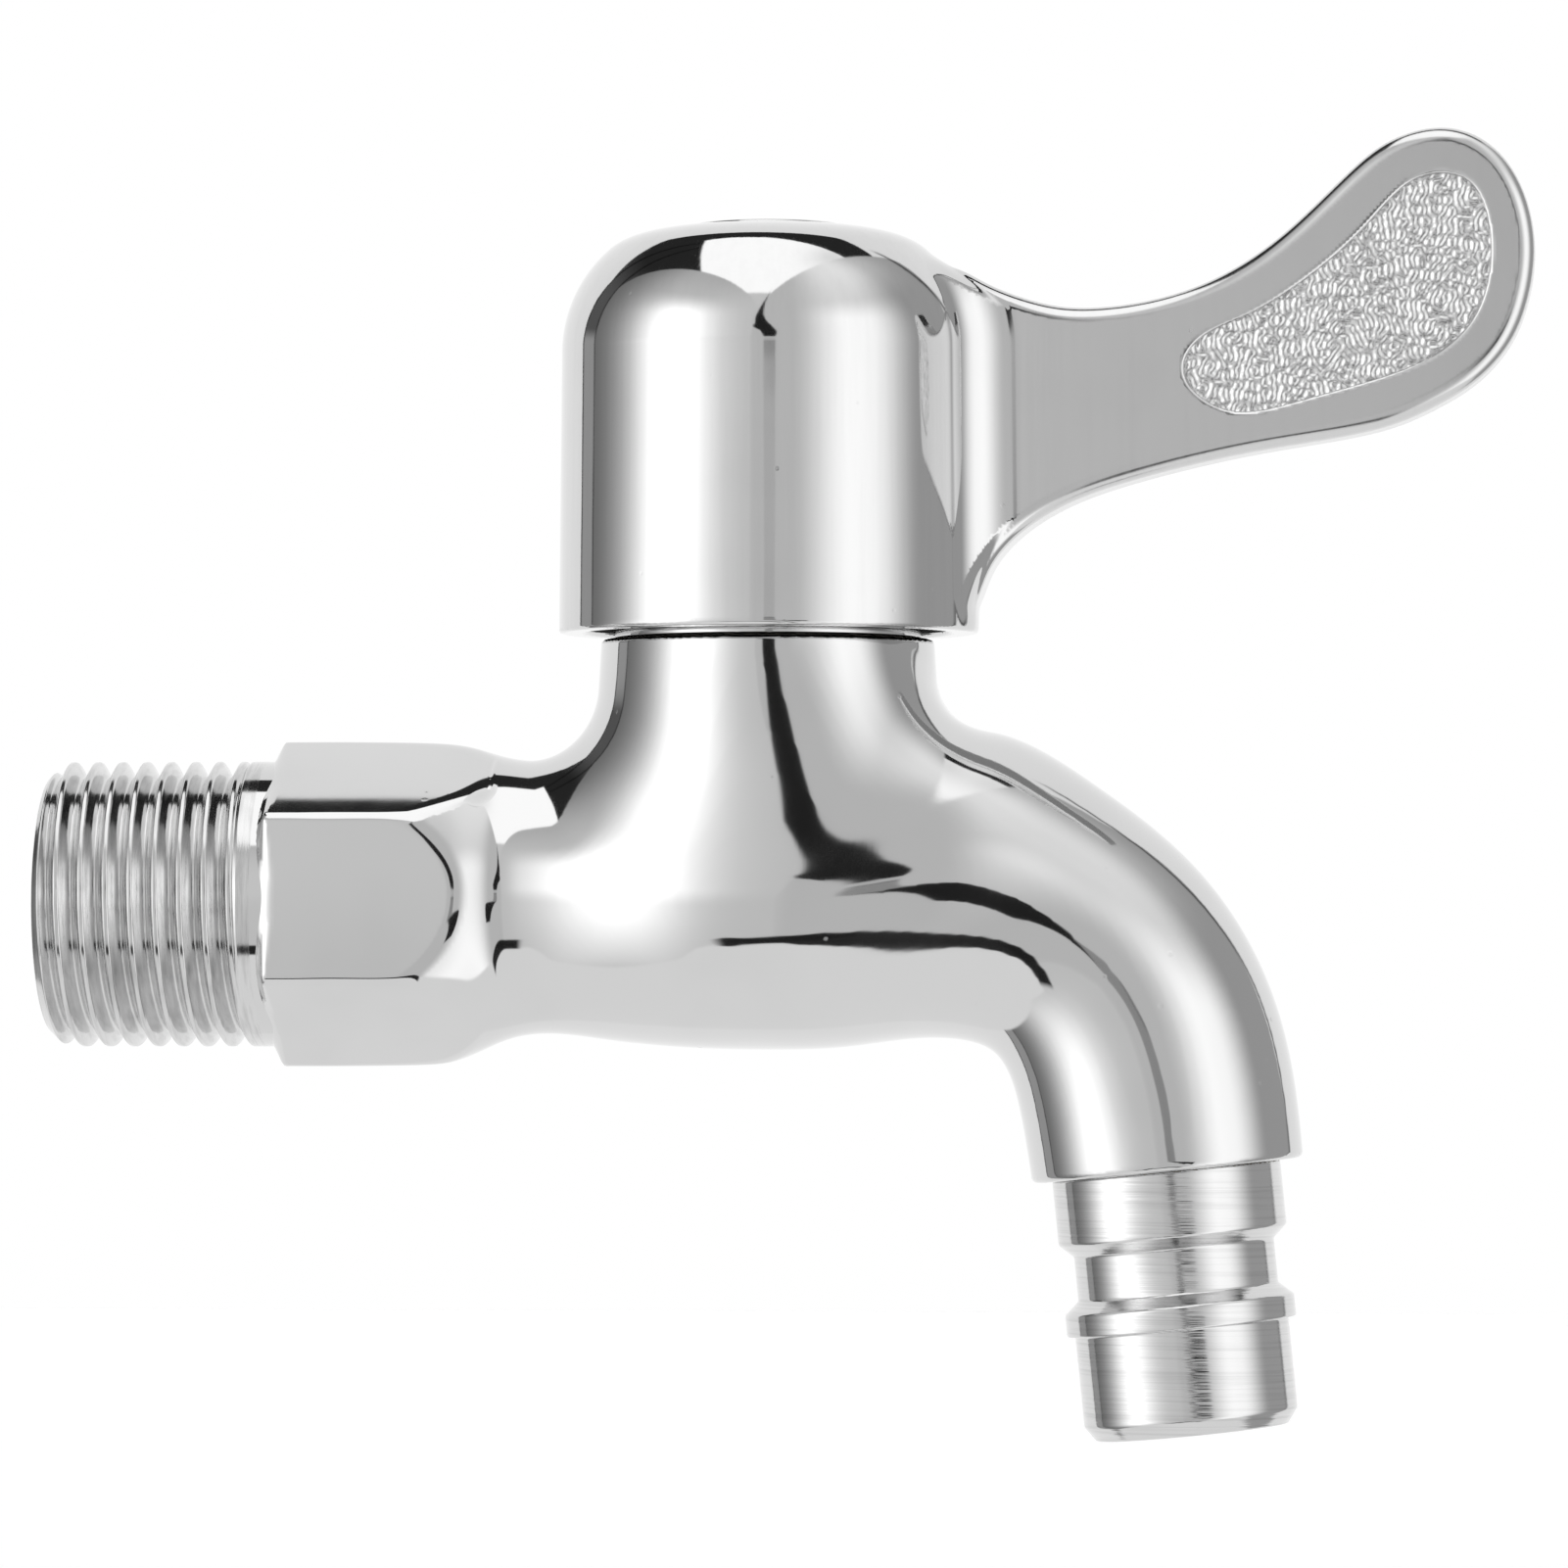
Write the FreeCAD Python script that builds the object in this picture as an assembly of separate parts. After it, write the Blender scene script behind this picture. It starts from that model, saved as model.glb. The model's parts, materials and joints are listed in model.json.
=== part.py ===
import FreeCAD, Part
import math
import os

# Washing machine tap: a wall-mounted quarter-turn bib tap with a push-fit hose nozzle.
# All sizes are in millimetres. The origin is the centre of the spanner hexagon's wall side,
# where the inlet thread ends. +X runs out of the wall along the inlet axis, +Z is up, and
# the lever points along +X when the tap is closed.

V = FreeCAD.Vector
ORIGIN = V(0, 0, 0)
X_AXIS = V(1, 0, 0)
Y_AXIS = V(0, 1, 0)
Z_AXIS = V(0, 0, 1)

# Clearances
contact_gap = 0.05        # between fixed pieces that screw or push together
running_gap = 0.05        # between a turning piece and its housing
disc_film = 0.02          # between the two lapped ceramic discs

# Inlet thread: G 1/2, parallel Whitworth form
thread_major_r = 10.4775
thread_pitch = 1.814
thread_flank_angle = 27.5
thread_depth = 1.162
thread_runout = 1.5
thread_lead_in = 1.0
thread_groove_overcut = 0.17   # how far the groove's profile passes the crests
inlet_length = 16.5
inlet_bore_r = 7.0

# Spanner hexagon behind the thread
hex_across_flats = 21.3
hex_length = 12.5
hex_chamfer_length = 1.1
hex_corner_draft = 0.35
hex_blend_length = 5.0

# Tower that takes the valve cartridge
tower_x = 36.4
tower_top_z = 21.5
tower_wall = 2.5
tower_draft_angle = 3.5
tower_root_z = 0.3
tower_root_fillet = 5.5

tube_section_points = 16  # around each section of the tube and of the outlet

# Neck sections: distance from the hexagon's back face, height of the centre, and how far
# the half height and the half width fall below the hexagon's corners
NECK_SECTIONS = [
    (-1.5, 0.00, 0.10, 0.30),
    (0.4, 0.02, 0.14, 0.40),
    (2.7, 0.25, 0.88, 1.20),
    (4.2, 0.35, 1.45, 1.65),
    (7.0, 0.45, 1.95, 2.05),
]
# Belly sections: distance from the tower axis, height of the centre, half height, how far
# the half width passes the tower's root, and slope of the tube below the horizontal
BELLY_SECTIONS = [
    (-12.0, 0.30, 10.25, -2.45, 0.0),
    (-6.5, 0.10, 10.60, -0.45, 0.0),
    (0.0, 0.05, 10.75, 0.65, 2.0),
    (13.6, 1.30, 11.55, -0.45, 14.5),
]
# Spout sections: distance from the tower axis, height of the centre, half height, half
# width and slope
SPOUT_SECTIONS = [
    (19.6, -0.85, 10.38, 11.20, 27.0),
    (24.3, -4.50, 9.95, 10.30, 48.0),
    (27.35, -9.70, 10.02, 10.10, 67.0),
    (28.55, -14.30, 10.02, 10.02, 79.0),
]
spout_end_dx = 29.25
spout_end_z = -19.45
spout_wall = 2.55
nozzle_tilt = 5.7         # of the nozzle's axis from the vertical

# Waterways
feed_r = 3.2
feed_z = -4.9
feed_length = 20.0
seat_port_r = 4.0
seat_z = 0.6
chamber_flow_gap = 0.8
chamber_top_z = 12.0
# Outlet sections: distance from the tower axis, height of the centre, radius and slope
OUTLET_SECTIONS = [
    (4.0, 4.6, 3.6, 0.0),
    (13.6, 2.4, 4.6, 14.5),
    (19.6, -0.85, 5.3, 27.0),
    (24.3, -4.50, 5.6, 48.0),
    (27.35, -9.70, 5.8, 67.0),
]

# Nozzle, turned from bar, from the spout's end to the tail's end
nozzle_bore_r = 5.0
nozzle_collar_r = 8.33
nozzle_collar_length = 4.3
nozzle_neck_r = 7.15
nozzle_neck_length = 3.3
nozzle_neck_chamfer = 0.9
nozzle_flange_r = 8.25
nozzle_flange_length = 1.7
nozzle_tail_r = 7.7
nozzle_tail_length = 6.3
nozzle_tail_chamfer = 0.8
nozzle_tail_end_length = 1.2
nozzle_stub_r = 7.3
nozzle_stub_length = 7.2
nozzle_gasket_thickness = 0.8
nozzle_gasket_step = 0.6

# Valve cartridge
disc_r = 6.7
fixed_disc_thickness = 3.0
moving_disc_thickness = 2.8
disc_port_inner_r = 1.6
disc_port_rim = 1.5
disc_port_angle = 84.0
disc_slot_depth = 1.0
disc_slot_width = 2.4
disc_slot_angles = (90.0, 270.0)
seat_seal_height = 2.6
seat_seal_wall = 1.7
support_ring_wall = 0.7
support_ring_recess = 0.3
foot_height = 1.2
foot_rise = 1.2
thrust_washer_thickness = 0.6
skirt_wall = 1.45
skirt_start = 0.6
window_height = 2.6
window_width = 7.0
bonnet_thread_step = 0.5
bonnet_flange_inset = 0.25
bonnet_flange_thickness = 1.7
bonnet_gasket_thickness = 0.8
bonnet_hex_across_flats = 19.0
bonnet_hex_height = 5.0
bonnet_neck_r = 6.6
bonnet_neck_height = 5.0
bonnet_lip_height = 4.0
stop_wall_width = 1.5
stop_wall_height = 1.35
handle_travel = 90.0
stop_tab_angle = 24.0
stop_play_angle = 0.5

# Spindle
spindle_body_r = 4.75
spindle_shaft_r = 4.0
spline_r = 3.9
spline_depth = 0.45
spline_count = 20
spline_root_share = 0.38  # half a tooth's width at its root, as a share of the pitch
spline_tip_share = 0.16
ring_groove_depth = 1.4
ring_groove_width = 1.9
ring_section_r = 0.68
lower_ring_height = 4.0
upper_ring_height = 8.2
circlip_groove_depth = 0.8
circlip_outer_r = 5.3
circlip_thickness = 0.8
circlip_opening = 3.0
stop_ring_thickness = 1.3
stop_ring_wall = 1.0
stop_tab_reach = 1.5

# Handle: a hollow bell with a flat lever
rim_overlap = 1.75
rim_clearance = 1.25
cap_wall = 2.0
cap_height = 30.1
cap_draft = 0.2
cap_straight_height = 20.55
cap_shoulder_mid_inset = 1.75
cap_shoulder_mid_height = 26.4
cap_shoulder_inset = 5.1
cap_crown_rise = 0.8
cap_roof_thickness = 3.3
cap_inner_round = 3.0
boss_wall = 1.5
boss_web_thickness = 2.0
boss_lower_gap = 0.7
boss_end_gap = 0.4
insert_wall = 1.4
insert_flat_depth = 0.6

# Lever outline in the plane y = 0: distance from the tower axis and height over the rim
LEVER_TOP = [
    (9.0, 27.1),
    (13.6, 26.65),
    (16.3, 25.4),
    (19.9, 24.05),
    (23.5, 23.58),
    (30.6, 24.75),
    (37.8, 28.85),
    (43.5, 34.15),
]
LEVER_TIP = [
    (46.3, 35.9),
    (49.2, 36.51),
    (52.0, 35.8),
    (54.5, 33.35),
    (56.0, 28.55),
    (55.5, 23.75),
    (54.1, 20.55),
    (51.8, 18.05),
    (49.0, 16.3),
]
LEVER_UNDERSIDE = [
    (44.9, 14.65),
    (36.3, 13.1),
    (27.4, 11.1),
    (21.0, 8.7),
    (16.6, 4.75),
    (15.0, 1.45),
    (12.0, 0.55),
]
lever_root_half_thickness = 3.0
lever_tip_half_thickness = 2.5
lever_root_blend_r = 4.5
lever_tip_dx = 57.0
lever_edge_round = 0.8

# Grip recess outline on each face of the lever, in the same plane
GRIP_OUTLINE = [
    (31.0, 17.95),
    (30.8, 19.85),
    (32.4, 21.6),
    (35.7, 23.1),
    (40.5, 26.25),
    (44.0, 29.45),
    (46.9, 32.35),
    (49.3, 33.1),
    (51.3, 32.45),
    (52.5, 30.25),
    (52.8, 26.75),
    (51.6, 22.65),
    (48.4, 19.75),
    (44.0, 18.05),
    (38.9, 16.65),
    (34.0, 16.0),
]
grip_depth = 0.5

# Handle screw and its cover
screw_r = 1.95
screw_hole_clearance = 0.25
screw_head_r = 3.6
screw_head_height = 2.0
screw_length = 10.0
screw_slot_length = 5.0
screw_slot_width = 0.9
screw_slot_depth = 1.0
screw_tip_gap = 2.0
lock_washer_thickness = 0.8
lock_washer_split = 0.6
index_cover_gap = 1.4
index_cap_r = 5.6
index_cap_thickness = 1.2
index_cap_skirt_wall = 0.5
index_cap_skirt_length = 2.2
index_cap_proud = 0.2

# Derived places and sizes
thread_root_r = thread_major_r - thread_depth
hex_corner_r = hex_across_flats / 2 / math.cos(math.radians(30))
hex_back_corner_r = hex_corner_r - hex_corner_draft
tower_axis = V(tower_x, 0, 0)
spout_end = V(tower_x + spout_end_dx, 0, spout_end_z)
nozzle_direction = V(
    math.sin(math.radians(nozzle_tilt)),
    0,
    -math.cos(math.radians(nozzle_tilt)),
)

skirt_inner_r = disc_r + running_gap
skirt_outer_r = skirt_inner_r + skirt_wall
chamber_r = skirt_outer_r + chamber_flow_gap
bonnet_thread_r = chamber_r + bonnet_thread_step
tower_bore_r = bonnet_thread_r + contact_gap
tower_top_r = tower_bore_r + tower_wall
tower_root_r = tower_top_r + (tower_top_z - tower_root_z) * math.tan(
    math.radians(tower_draft_angle)
)
bonnet_flange_r = tower_top_r - bonnet_flange_inset

seal_top_z = seat_z + seat_seal_height
fixed_disc_top_z = seal_top_z + fixed_disc_thickness
moving_disc_z = fixed_disc_top_z + disc_film
moving_disc_top_z = moving_disc_z + moving_disc_thickness
foot_z = moving_disc_top_z + foot_rise
foot_top_z = foot_z + foot_height
foot_r = disc_r - running_gap
washer_z = foot_top_z + running_gap
bonnet_shoulder_z = washer_z + thrust_washer_thickness + running_gap
bonnet_flange_z = tower_top_z + bonnet_gasket_thickness
bonnet_hex_z = bonnet_flange_z + bonnet_flange_thickness
bonnet_neck_z = bonnet_hex_z + bonnet_hex_height
bonnet_top_z = bonnet_neck_z + bonnet_neck_height
lip_z = bonnet_top_z - bonnet_lip_height
stop_ring_z = bonnet_top_z + running_gap
circlip_z = stop_ring_z + stop_ring_thickness + running_gap
circlip_top_z = circlip_z + circlip_thickness

spline_root_r = spline_r - spline_depth
insert_r = spline_r + contact_gap + insert_wall
boss_socket_r = insert_r + contact_gap
boss_r = boss_socket_r + boss_wall
rim_z = tower_top_z - rim_overlap
cap_rim_r = tower_top_r + rim_clearance + cap_wall
cap_top_r = cap_rim_r - cap_draft
cap_crown_z = rim_z + cap_height
cap_roof_z = cap_crown_z - cap_roof_thickness
index_seat_z = cap_crown_z - index_cap_thickness
screw_head_z = index_seat_z - index_cover_gap - screw_head_height
boss_web_top_z = screw_head_z - lock_washer_thickness
boss_socket_top_z = boss_web_top_z - boss_web_thickness
spindle_top_z = boss_socket_top_z - boss_end_gap
boss_bottom_z = circlip_top_z + boss_lower_gap
screw_clearance_r = screw_r + screw_hole_clearance
index_skirt_inner_r = screw_head_r + screw_hole_clearance
counterbore_r = index_skirt_inner_r + index_cap_skirt_wall + contact_gap

nozzle_socket_r = nozzle_stub_r + contact_gap
nozzle_socket_depth = nozzle_stub_length + nozzle_gasket_thickness
nozzle_gasket_bore_r = nozzle_bore_r + nozzle_gasket_step
spout_end_r = nozzle_socket_r + spout_wall


def cylinder(radius, z_low, z_high, x=tower_x, y=0.0):
    """A vertical cylinder between two heights."""
    return Part.makeCylinder(radius, z_high - z_low, V(x, y, z_low))


def ring(outer_r, inner_r, z_low, z_high, x=tower_x):
    """A vertical ring of rectangular section."""
    return cylinder(outer_r, z_low, z_high, x).cut(cylinder(inner_r, z_low, z_high, x))


def revolve_profile(points, place, axis, radial):
    """Turn a closed profile of (along, radius) points about an axis through place."""
    corners = [place + axis * along + radial * radius for along, radius in points]
    wire = Part.makePolygon(corners + [corners[0]])
    return Part.Face(wire).revolve(place, axis, 360)


def hexagon_prism(across_flats, place, axis, length, first_corner):
    """A hexagonal prism along an axis, with one corner along first_corner."""
    corner_r = across_flats / 2 / math.cos(math.radians(30))
    side = axis.cross(first_corner)
    corners = []
    for step in range(6):
        angle = math.radians(60 * step)
        out = first_corner * math.cos(angle) + side * math.sin(angle)
        corners.append(place + out * corner_r)
    wire = Part.makePolygon(corners + [corners[0]])
    return Part.Face(wire).extrude(axis * length)


def sector(outer_r, inner_r, z_low, z_high, middle_deg, width_deg):
    """A slice of a vertical ring about the tower axis."""
    start = V(
        math.cos(math.radians(middle_deg - width_deg / 2)),
        math.sin(math.radians(middle_deg - width_deg / 2)),
        0,
    )
    base = tower_axis + Z_AXIS * z_low
    corners = [
        base + start * inner_r,
        base + start * outer_r,
        base + start * outer_r + Z_AXIS * (z_high - z_low),
        base + start * inner_r + Z_AXIS * (z_high - z_low),
    ]
    face = Part.Face(Part.makePolygon(corners + [corners[0]]))
    return face.revolve(base, Z_AXIS, width_deg)


def tube_section(x, z, half_height, half_width, slope):
    """A closed elliptical wire across the tube, starting at its underside."""
    angle = math.radians(slope)
    up = V(math.sin(angle), 0, math.cos(angle))
    centre = V(x, 0, z)
    points = []
    for step in range(tube_section_points):
        turn = 2 * math.pi * step / tube_section_points
        points.append(
            centre
            - up * (half_height * math.cos(turn))
            + Y_AXIS * (half_width * math.sin(turn))
        )
    curve = Part.BSplineCurve()
    curve.interpolate(points, True)
    return Part.Wire(curve.toShape())


def lever_outline(points):
    """A smooth closed outline through (distance from the tower axis, height) points."""
    curve = Part.BSplineCurve()
    curve.interpolate([V(tower_x + dx, 0, rim_z + height) for dx, height in points], True)
    return Part.Wire(curve.toShape())


def spline_prism(allowance, z_low, z_high):
    """The spindle's splined section, or the hole that fits over it."""
    root_r = spline_root_r + allowance
    outer_r = spline_r + allowance
    tooth_form = (
        (-spline_root_share, root_r),
        (-spline_tip_share, outer_r),
        (spline_tip_share, outer_r),
        (spline_root_share, root_r),
    )
    corners = []
    for tooth in range(spline_count):
        for offset, radius in tooth_form:
            angle = 2 * math.pi * (tooth + offset) / spline_count
            corners.append(
                tower_axis
                + V(radius * math.cos(angle), radius * math.sin(angle), z_low)
            )
    wire = Part.makePolygon(corners + [corners[0]])
    return Part.Face(wire).extrude(Z_AXIS * (z_high - z_low))


def inlet_thread():
    """The threaded inlet, from its wall end at -X to the hexagon."""
    stub = revolve_profile(
        [
            (-inlet_length, 0),
            (-inlet_length, thread_major_r - thread_lead_in),
            (-inlet_length + thread_lead_in, thread_major_r),
            (hex_chamfer_length, thread_major_r),
            (hex_chamfer_length, 0),
        ],
        ORIGIN,
        X_AXIS,
        Z_AXIS,
    )
    flank = math.tan(math.radians(thread_flank_angle))
    root_half = (thread_pitch / 2 - thread_depth * flank) / 2
    outer_r = thread_major_r + thread_groove_overcut
    outer_half = root_half + (outer_r - thread_root_r) * flank
    helix_length = inlet_length - thread_runout + thread_pitch
    helix = Part.makeHelix(thread_pitch, helix_length, thread_root_r)
    corners = [
        V(thread_root_r, 0, -root_half),
        V(outer_r, 0, -outer_half),
        V(outer_r, 0, outer_half),
        V(thread_root_r, 0, root_half),
    ]
    profile = Part.makePolygon(corners + [corners[0]])
    groove = Part.Wire(helix.Edges).makePipeShell([profile], True, True)
    groove.rotate(ORIGIN, Y_AXIS, 90)
    groove.translate(X_AXIS * (-inlet_length - thread_pitch))
    return stub.cut(groove)


def body_shell():
    """The outside of the casting: hexagon, tube, tower and curved spout."""
    collar = revolve_profile(
        [
            (0, 0),
            (0, thread_major_r),
            (hex_chamfer_length, hex_corner_r),
            (hex_length, hex_back_corner_r),
            (hex_length, 0),
        ],
        ORIGIN,
        X_AXIS,
        Z_AXIS,
    )
    sections = []
    for dx, z, height_drop, width_drop in NECK_SECTIONS:
        sections.append(
            tube_section(
                hex_length + dx,
                z,
                hex_back_corner_r - height_drop,
                hex_back_corner_r - width_drop,
                0,
            )
        )
    for dx, z, half_height, margin, slope in BELLY_SECTIONS:
        half_width = tower_root_r + margin
        sections.append(tube_section(tower_x + dx, z, half_height, half_width, slope))
    for dx, z, half_height, half_width, slope in SPOUT_SECTIONS:
        sections.append(tube_section(tower_x + dx, z, half_height, half_width, slope))
    sections.append(
        tube_section(spout_end.x, spout_end.z, spout_end_r, spout_end_r, 90 - nozzle_tilt)
    )
    tube = Part.makeLoft(sections, True, False)
    tower = Part.makeCone(
        tower_root_r,
        tower_top_r,
        tower_top_z - tower_root_z,
        tower_axis + Z_AXIS * tower_root_z,
    )
    body = tube.fuse(tower)
    reach = tower_root_r + tower_root_fillet
    seam = [
        edge
        for edge in body.Edges
        if edge.BoundBox.ZMin > tower_root_z
        and edge.BoundBox.ZMax < tower_top_z - tower_root_fillet
        and edge.BoundBox.XMin > tower_x - reach
        and edge.BoundBox.XMax < tower_x + reach
    ]
    body = body.makeFillet(tower_root_fillet, seam)
    flats_length = hex_length + hex_blend_length
    surround = Part.makeCylinder(2 * hex_across_flats, flats_length, ORIGIN, X_AXIS)
    flats = hexagon_prism(hex_across_flats, ORIGIN, X_AXIS, flats_length, Z_AXIS)
    return body.fuse(collar).cut(surround.cut(flats))


def waterways():
    """The passages through the casting, as one solid to cut away."""
    feed_start_x = tower_x - feed_length
    mouth = V(-inlet_length, 0, 0)
    inlet_depth = inlet_length + feed_start_x + feed_r
    inlet = Part.makeCylinder(inlet_bore_r, inlet_depth, mouth, X_AXIS)
    feed = Part.makeCylinder(
        feed_r,
        feed_length + seat_port_r,
        V(feed_start_x, 0, feed_z),
        X_AXIS,
    )
    port = cylinder(seat_port_r, feed_z, seat_z)
    chamber = cylinder(chamber_r, seat_z, chamber_top_z)
    thread_bore = cylinder(tower_bore_r, chamber_top_z, tower_top_z)
    rows = [
        tube_section(tower_x + dx, z, radius, radius, slope)
        for dx, z, radius, slope in OUTLET_SECTIONS
    ]
    socket_floor = spout_end - nozzle_direction * nozzle_socket_depth
    outlet_end_r = nozzle_gasket_bore_r
    rows.append(
        tube_section(
            socket_floor.x,
            socket_floor.z,
            outlet_end_r,
            outlet_end_r,
            90 - nozzle_tilt,
        )
    )
    outlet = Part.makeLoft(rows, True, False)
    socket = Part.makeCylinder(
        nozzle_socket_r,
        nozzle_socket_depth,
        socket_floor,
        nozzle_direction,
    )
    return inlet.fuse([feed, port, chamber, thread_bore, outlet, socket])


def make_tap_body():
    """The cast body with its inlet thread, hexagon, tower, spout and waterways."""
    return inlet_thread().fuse(body_shell()).cut(waterways()).removeSplitter()


def make_nozzle():
    """The turned hose nozzle, with the stub that goes up into the spout."""
    collar_end = nozzle_collar_length
    neck_start = collar_end + nozzle_neck_chamfer
    neck_end = neck_start + nozzle_neck_length
    flange_start = neck_end + nozzle_neck_chamfer
    flange_end = flange_start + nozzle_flange_length
    tail_end = flange_end + nozzle_tail_length
    nozzle_end = tail_end + nozzle_tail_end_length
    return revolve_profile(
        [
            (-nozzle_stub_length, nozzle_bore_r),
            (-nozzle_stub_length, nozzle_stub_r),
            (0, nozzle_stub_r),
            (0, nozzle_collar_r),
            (collar_end, nozzle_collar_r),
            (neck_start, nozzle_neck_r),
            (neck_end, nozzle_neck_r),
            (flange_start, nozzle_flange_r),
            (flange_end, nozzle_flange_r),
            (flange_end, nozzle_tail_r),
            (tail_end, nozzle_tail_r),
            (nozzle_end, nozzle_tail_r - nozzle_tail_chamfer),
            (nozzle_end, nozzle_bore_r),
        ],
        spout_end,
        nozzle_direction,
        nozzle_direction.cross(Y_AXIS),
    )


def make_nozzle_gasket():
    """The flat rubber ring between the spout's socket floor and the nozzle's stub."""
    place = spout_end - nozzle_direction * nozzle_socket_depth
    disc = Part.makeCylinder(nozzle_stub_r, nozzle_gasket_thickness, place, nozzle_direction)
    hole = Part.makeCylinder(
        nozzle_gasket_bore_r, nozzle_gasket_thickness, place, nozzle_direction
    )
    return disc.cut(hole)


def make_seat_seal():
    """The rubber ring that seals the cartridge on the seat."""
    return ring(disc_r, disc_r - seat_seal_wall, seat_z, seal_top_z)


def make_seal_support_ring():
    """The stiff ring inside the rubber seal."""
    outer = disc_r - seat_seal_wall - contact_gap
    return ring(outer, outer - support_ring_wall, seat_z + support_ring_recess, seal_top_z)


def disc_ports(z_low, z_high, middle_deg):
    """Two opposite sector ports through a ceramic disc."""
    ports = []
    for turn in (0, 180):
        ports.append(
            sector(
                disc_r - disc_port_rim,
                disc_port_inner_r,
                z_low,
                z_high,
                middle_deg + turn,
                disc_port_angle,
            )
        )
    return ports


def make_fixed_disc():
    """The lower ceramic disc, which stays still."""
    disc = cylinder(disc_r, seal_top_z, fixed_disc_top_z)
    return disc.cut(disc_ports(seal_top_z, fixed_disc_top_z, 90))


def make_moving_disc():
    """The upper ceramic disc, turned by the spindle, with two drive slots."""
    disc = cylinder(disc_r, moving_disc_z, moving_disc_top_z)
    disc = disc.cut(disc_ports(moving_disc_z, moving_disc_top_z, 0))
    slots = []
    for middle in disc_slot_angles:
        slots.append(drive_lug(middle, moving_disc_top_z - disc_slot_depth, contact_gap))
    return disc.cut(slots)


def drive_lug(middle_deg, z_low, allowance):
    """One straight drive lug under the spindle's foot, reaching to the disc's rim."""
    half = disc_slot_width / 2 + allowance
    block = Part.makeBox(
        2 * disc_r,
        2 * half,
        foot_z - z_low,
        V(tower_x + disc_port_inner_r, -half, z_low),
    )
    block.rotate(tower_axis, Z_AXIS, middle_deg)
    return block


def make_spindle():
    """The spindle: foot with drive lugs, O-ring grooves, shaft and splined head."""
    foot = cylinder(foot_r, foot_z, foot_top_z)
    lug_z = moving_disc_top_z - disc_slot_depth + contact_gap
    reach = cylinder(foot_r, lug_z, foot_z)
    lugs = [drive_lug(middle, lug_z, 0.0).common(reach) for middle in disc_slot_angles]
    body = cylinder(spindle_body_r, foot_z, lip_z - running_gap)
    shaft = cylinder(spindle_shaft_r, foot_z, stop_ring_z)
    head = spline_prism(0.0, stop_ring_z, spindle_top_z)
    spindle = foot.fuse(lugs + [body, shaft, head])
    grooves = []
    for height in (lower_ring_height, upper_ring_height):
        low = bonnet_shoulder_z + height - ring_groove_width / 2
        grooves.append(
            ring(
                spindle_body_r,
                spindle_body_r - ring_groove_depth,
                low,
                low + ring_groove_width,
            )
        )
    grooves.append(
        ring(
            spindle_body_r,
            spline_r - circlip_groove_depth,
            circlip_z - contact_gap,
            circlip_top_z + contact_gap,
        )
    )
    tapped_hole = cylinder(
        screw_r + contact_gap,
        screw_head_z - screw_length - screw_tip_gap,
        spindle_top_z,
    )
    return spindle.cut(grooves + [tapped_hole]).removeSplitter()


def make_spindle_o_ring(height):
    """One rubber O-ring in its groove on the spindle."""
    place = tower_axis + Z_AXIS * (bonnet_shoulder_z + height)
    mean_r = spindle_body_r - ring_groove_depth / 2
    return Part.makeTorus(mean_r, ring_section_r, place, Z_AXIS)


def make_thrust_washer():
    """The slippery washer between the spindle's foot and the bonnet's shoulder."""
    return ring(
        foot_r,
        spindle_body_r + running_gap,
        washer_z,
        washer_z + thrust_washer_thickness,
    )


def make_bonnet():
    """The brass bonnet that holds the cartridge and screws into the tower."""
    thread_z = chamber_top_z + contact_gap
    skirt = cylinder(skirt_outer_r, seat_z + skirt_start, thread_z)
    thread = cylinder(bonnet_thread_r, thread_z, bonnet_flange_z)
    flange = cylinder(bonnet_flange_r, bonnet_flange_z, bonnet_hex_z)
    hexagon = hexagon_prism(
        bonnet_hex_across_flats,
        tower_axis + Z_AXIS * bonnet_hex_z,
        Z_AXIS,
        bonnet_hex_height,
        X_AXIS,
    )
    neck = cylinder(bonnet_neck_r, bonnet_neck_z, bonnet_top_z)
    stop_angle = 360 - handle_travel - stop_tab_angle - 2 * stop_play_angle
    stop_wall = sector(
        bonnet_neck_r,
        bonnet_neck_r - stop_wall_width,
        bonnet_top_z,
        bonnet_top_z + stop_wall_height,
        handle_travel / 2 + 180,
        stop_angle,
    )
    bonnet = skirt.fuse([thread, flange, hexagon, neck, stop_wall])
    disc_bore = cylinder(skirt_inner_r, seat_z, bonnet_shoulder_z)
    spindle_bore = cylinder(spindle_body_r + running_gap, seat_z, lip_z)
    shaft_bore = cylinder(spindle_shaft_r + running_gap, seat_z, bonnet_top_z)
    windows = Part.makeBox(
        window_width,
        2 * bonnet_thread_r,
        window_height,
        V(tower_x - window_width / 2, -bonnet_thread_r, foot_z - window_height / 2),
    )
    return bonnet.cut([disc_bore, spindle_bore, shaft_bore, windows]).removeSplitter()


def make_bonnet_gasket():
    """The fibre ring between the tower's top and the bonnet's flange."""
    return ring(bonnet_flange_r, tower_bore_r, tower_top_z, bonnet_flange_z)


def make_stop_ring():
    """The splined ring whose tab meets the bonnet's stop wall at each end of travel."""
    top = stop_ring_z + stop_ring_thickness
    outer_r = spline_r + stop_ring_wall
    plate = cylinder(outer_r, stop_ring_z, top)
    tab_r = outer_r + stop_tab_reach
    tab = sector(tab_r, spline_r + contact_gap, stop_ring_z, top, 0, stop_tab_angle)
    hole = spline_prism(contact_gap, stop_ring_z, top)
    return plate.fuse(tab).cut(hole).removeSplitter()


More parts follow.
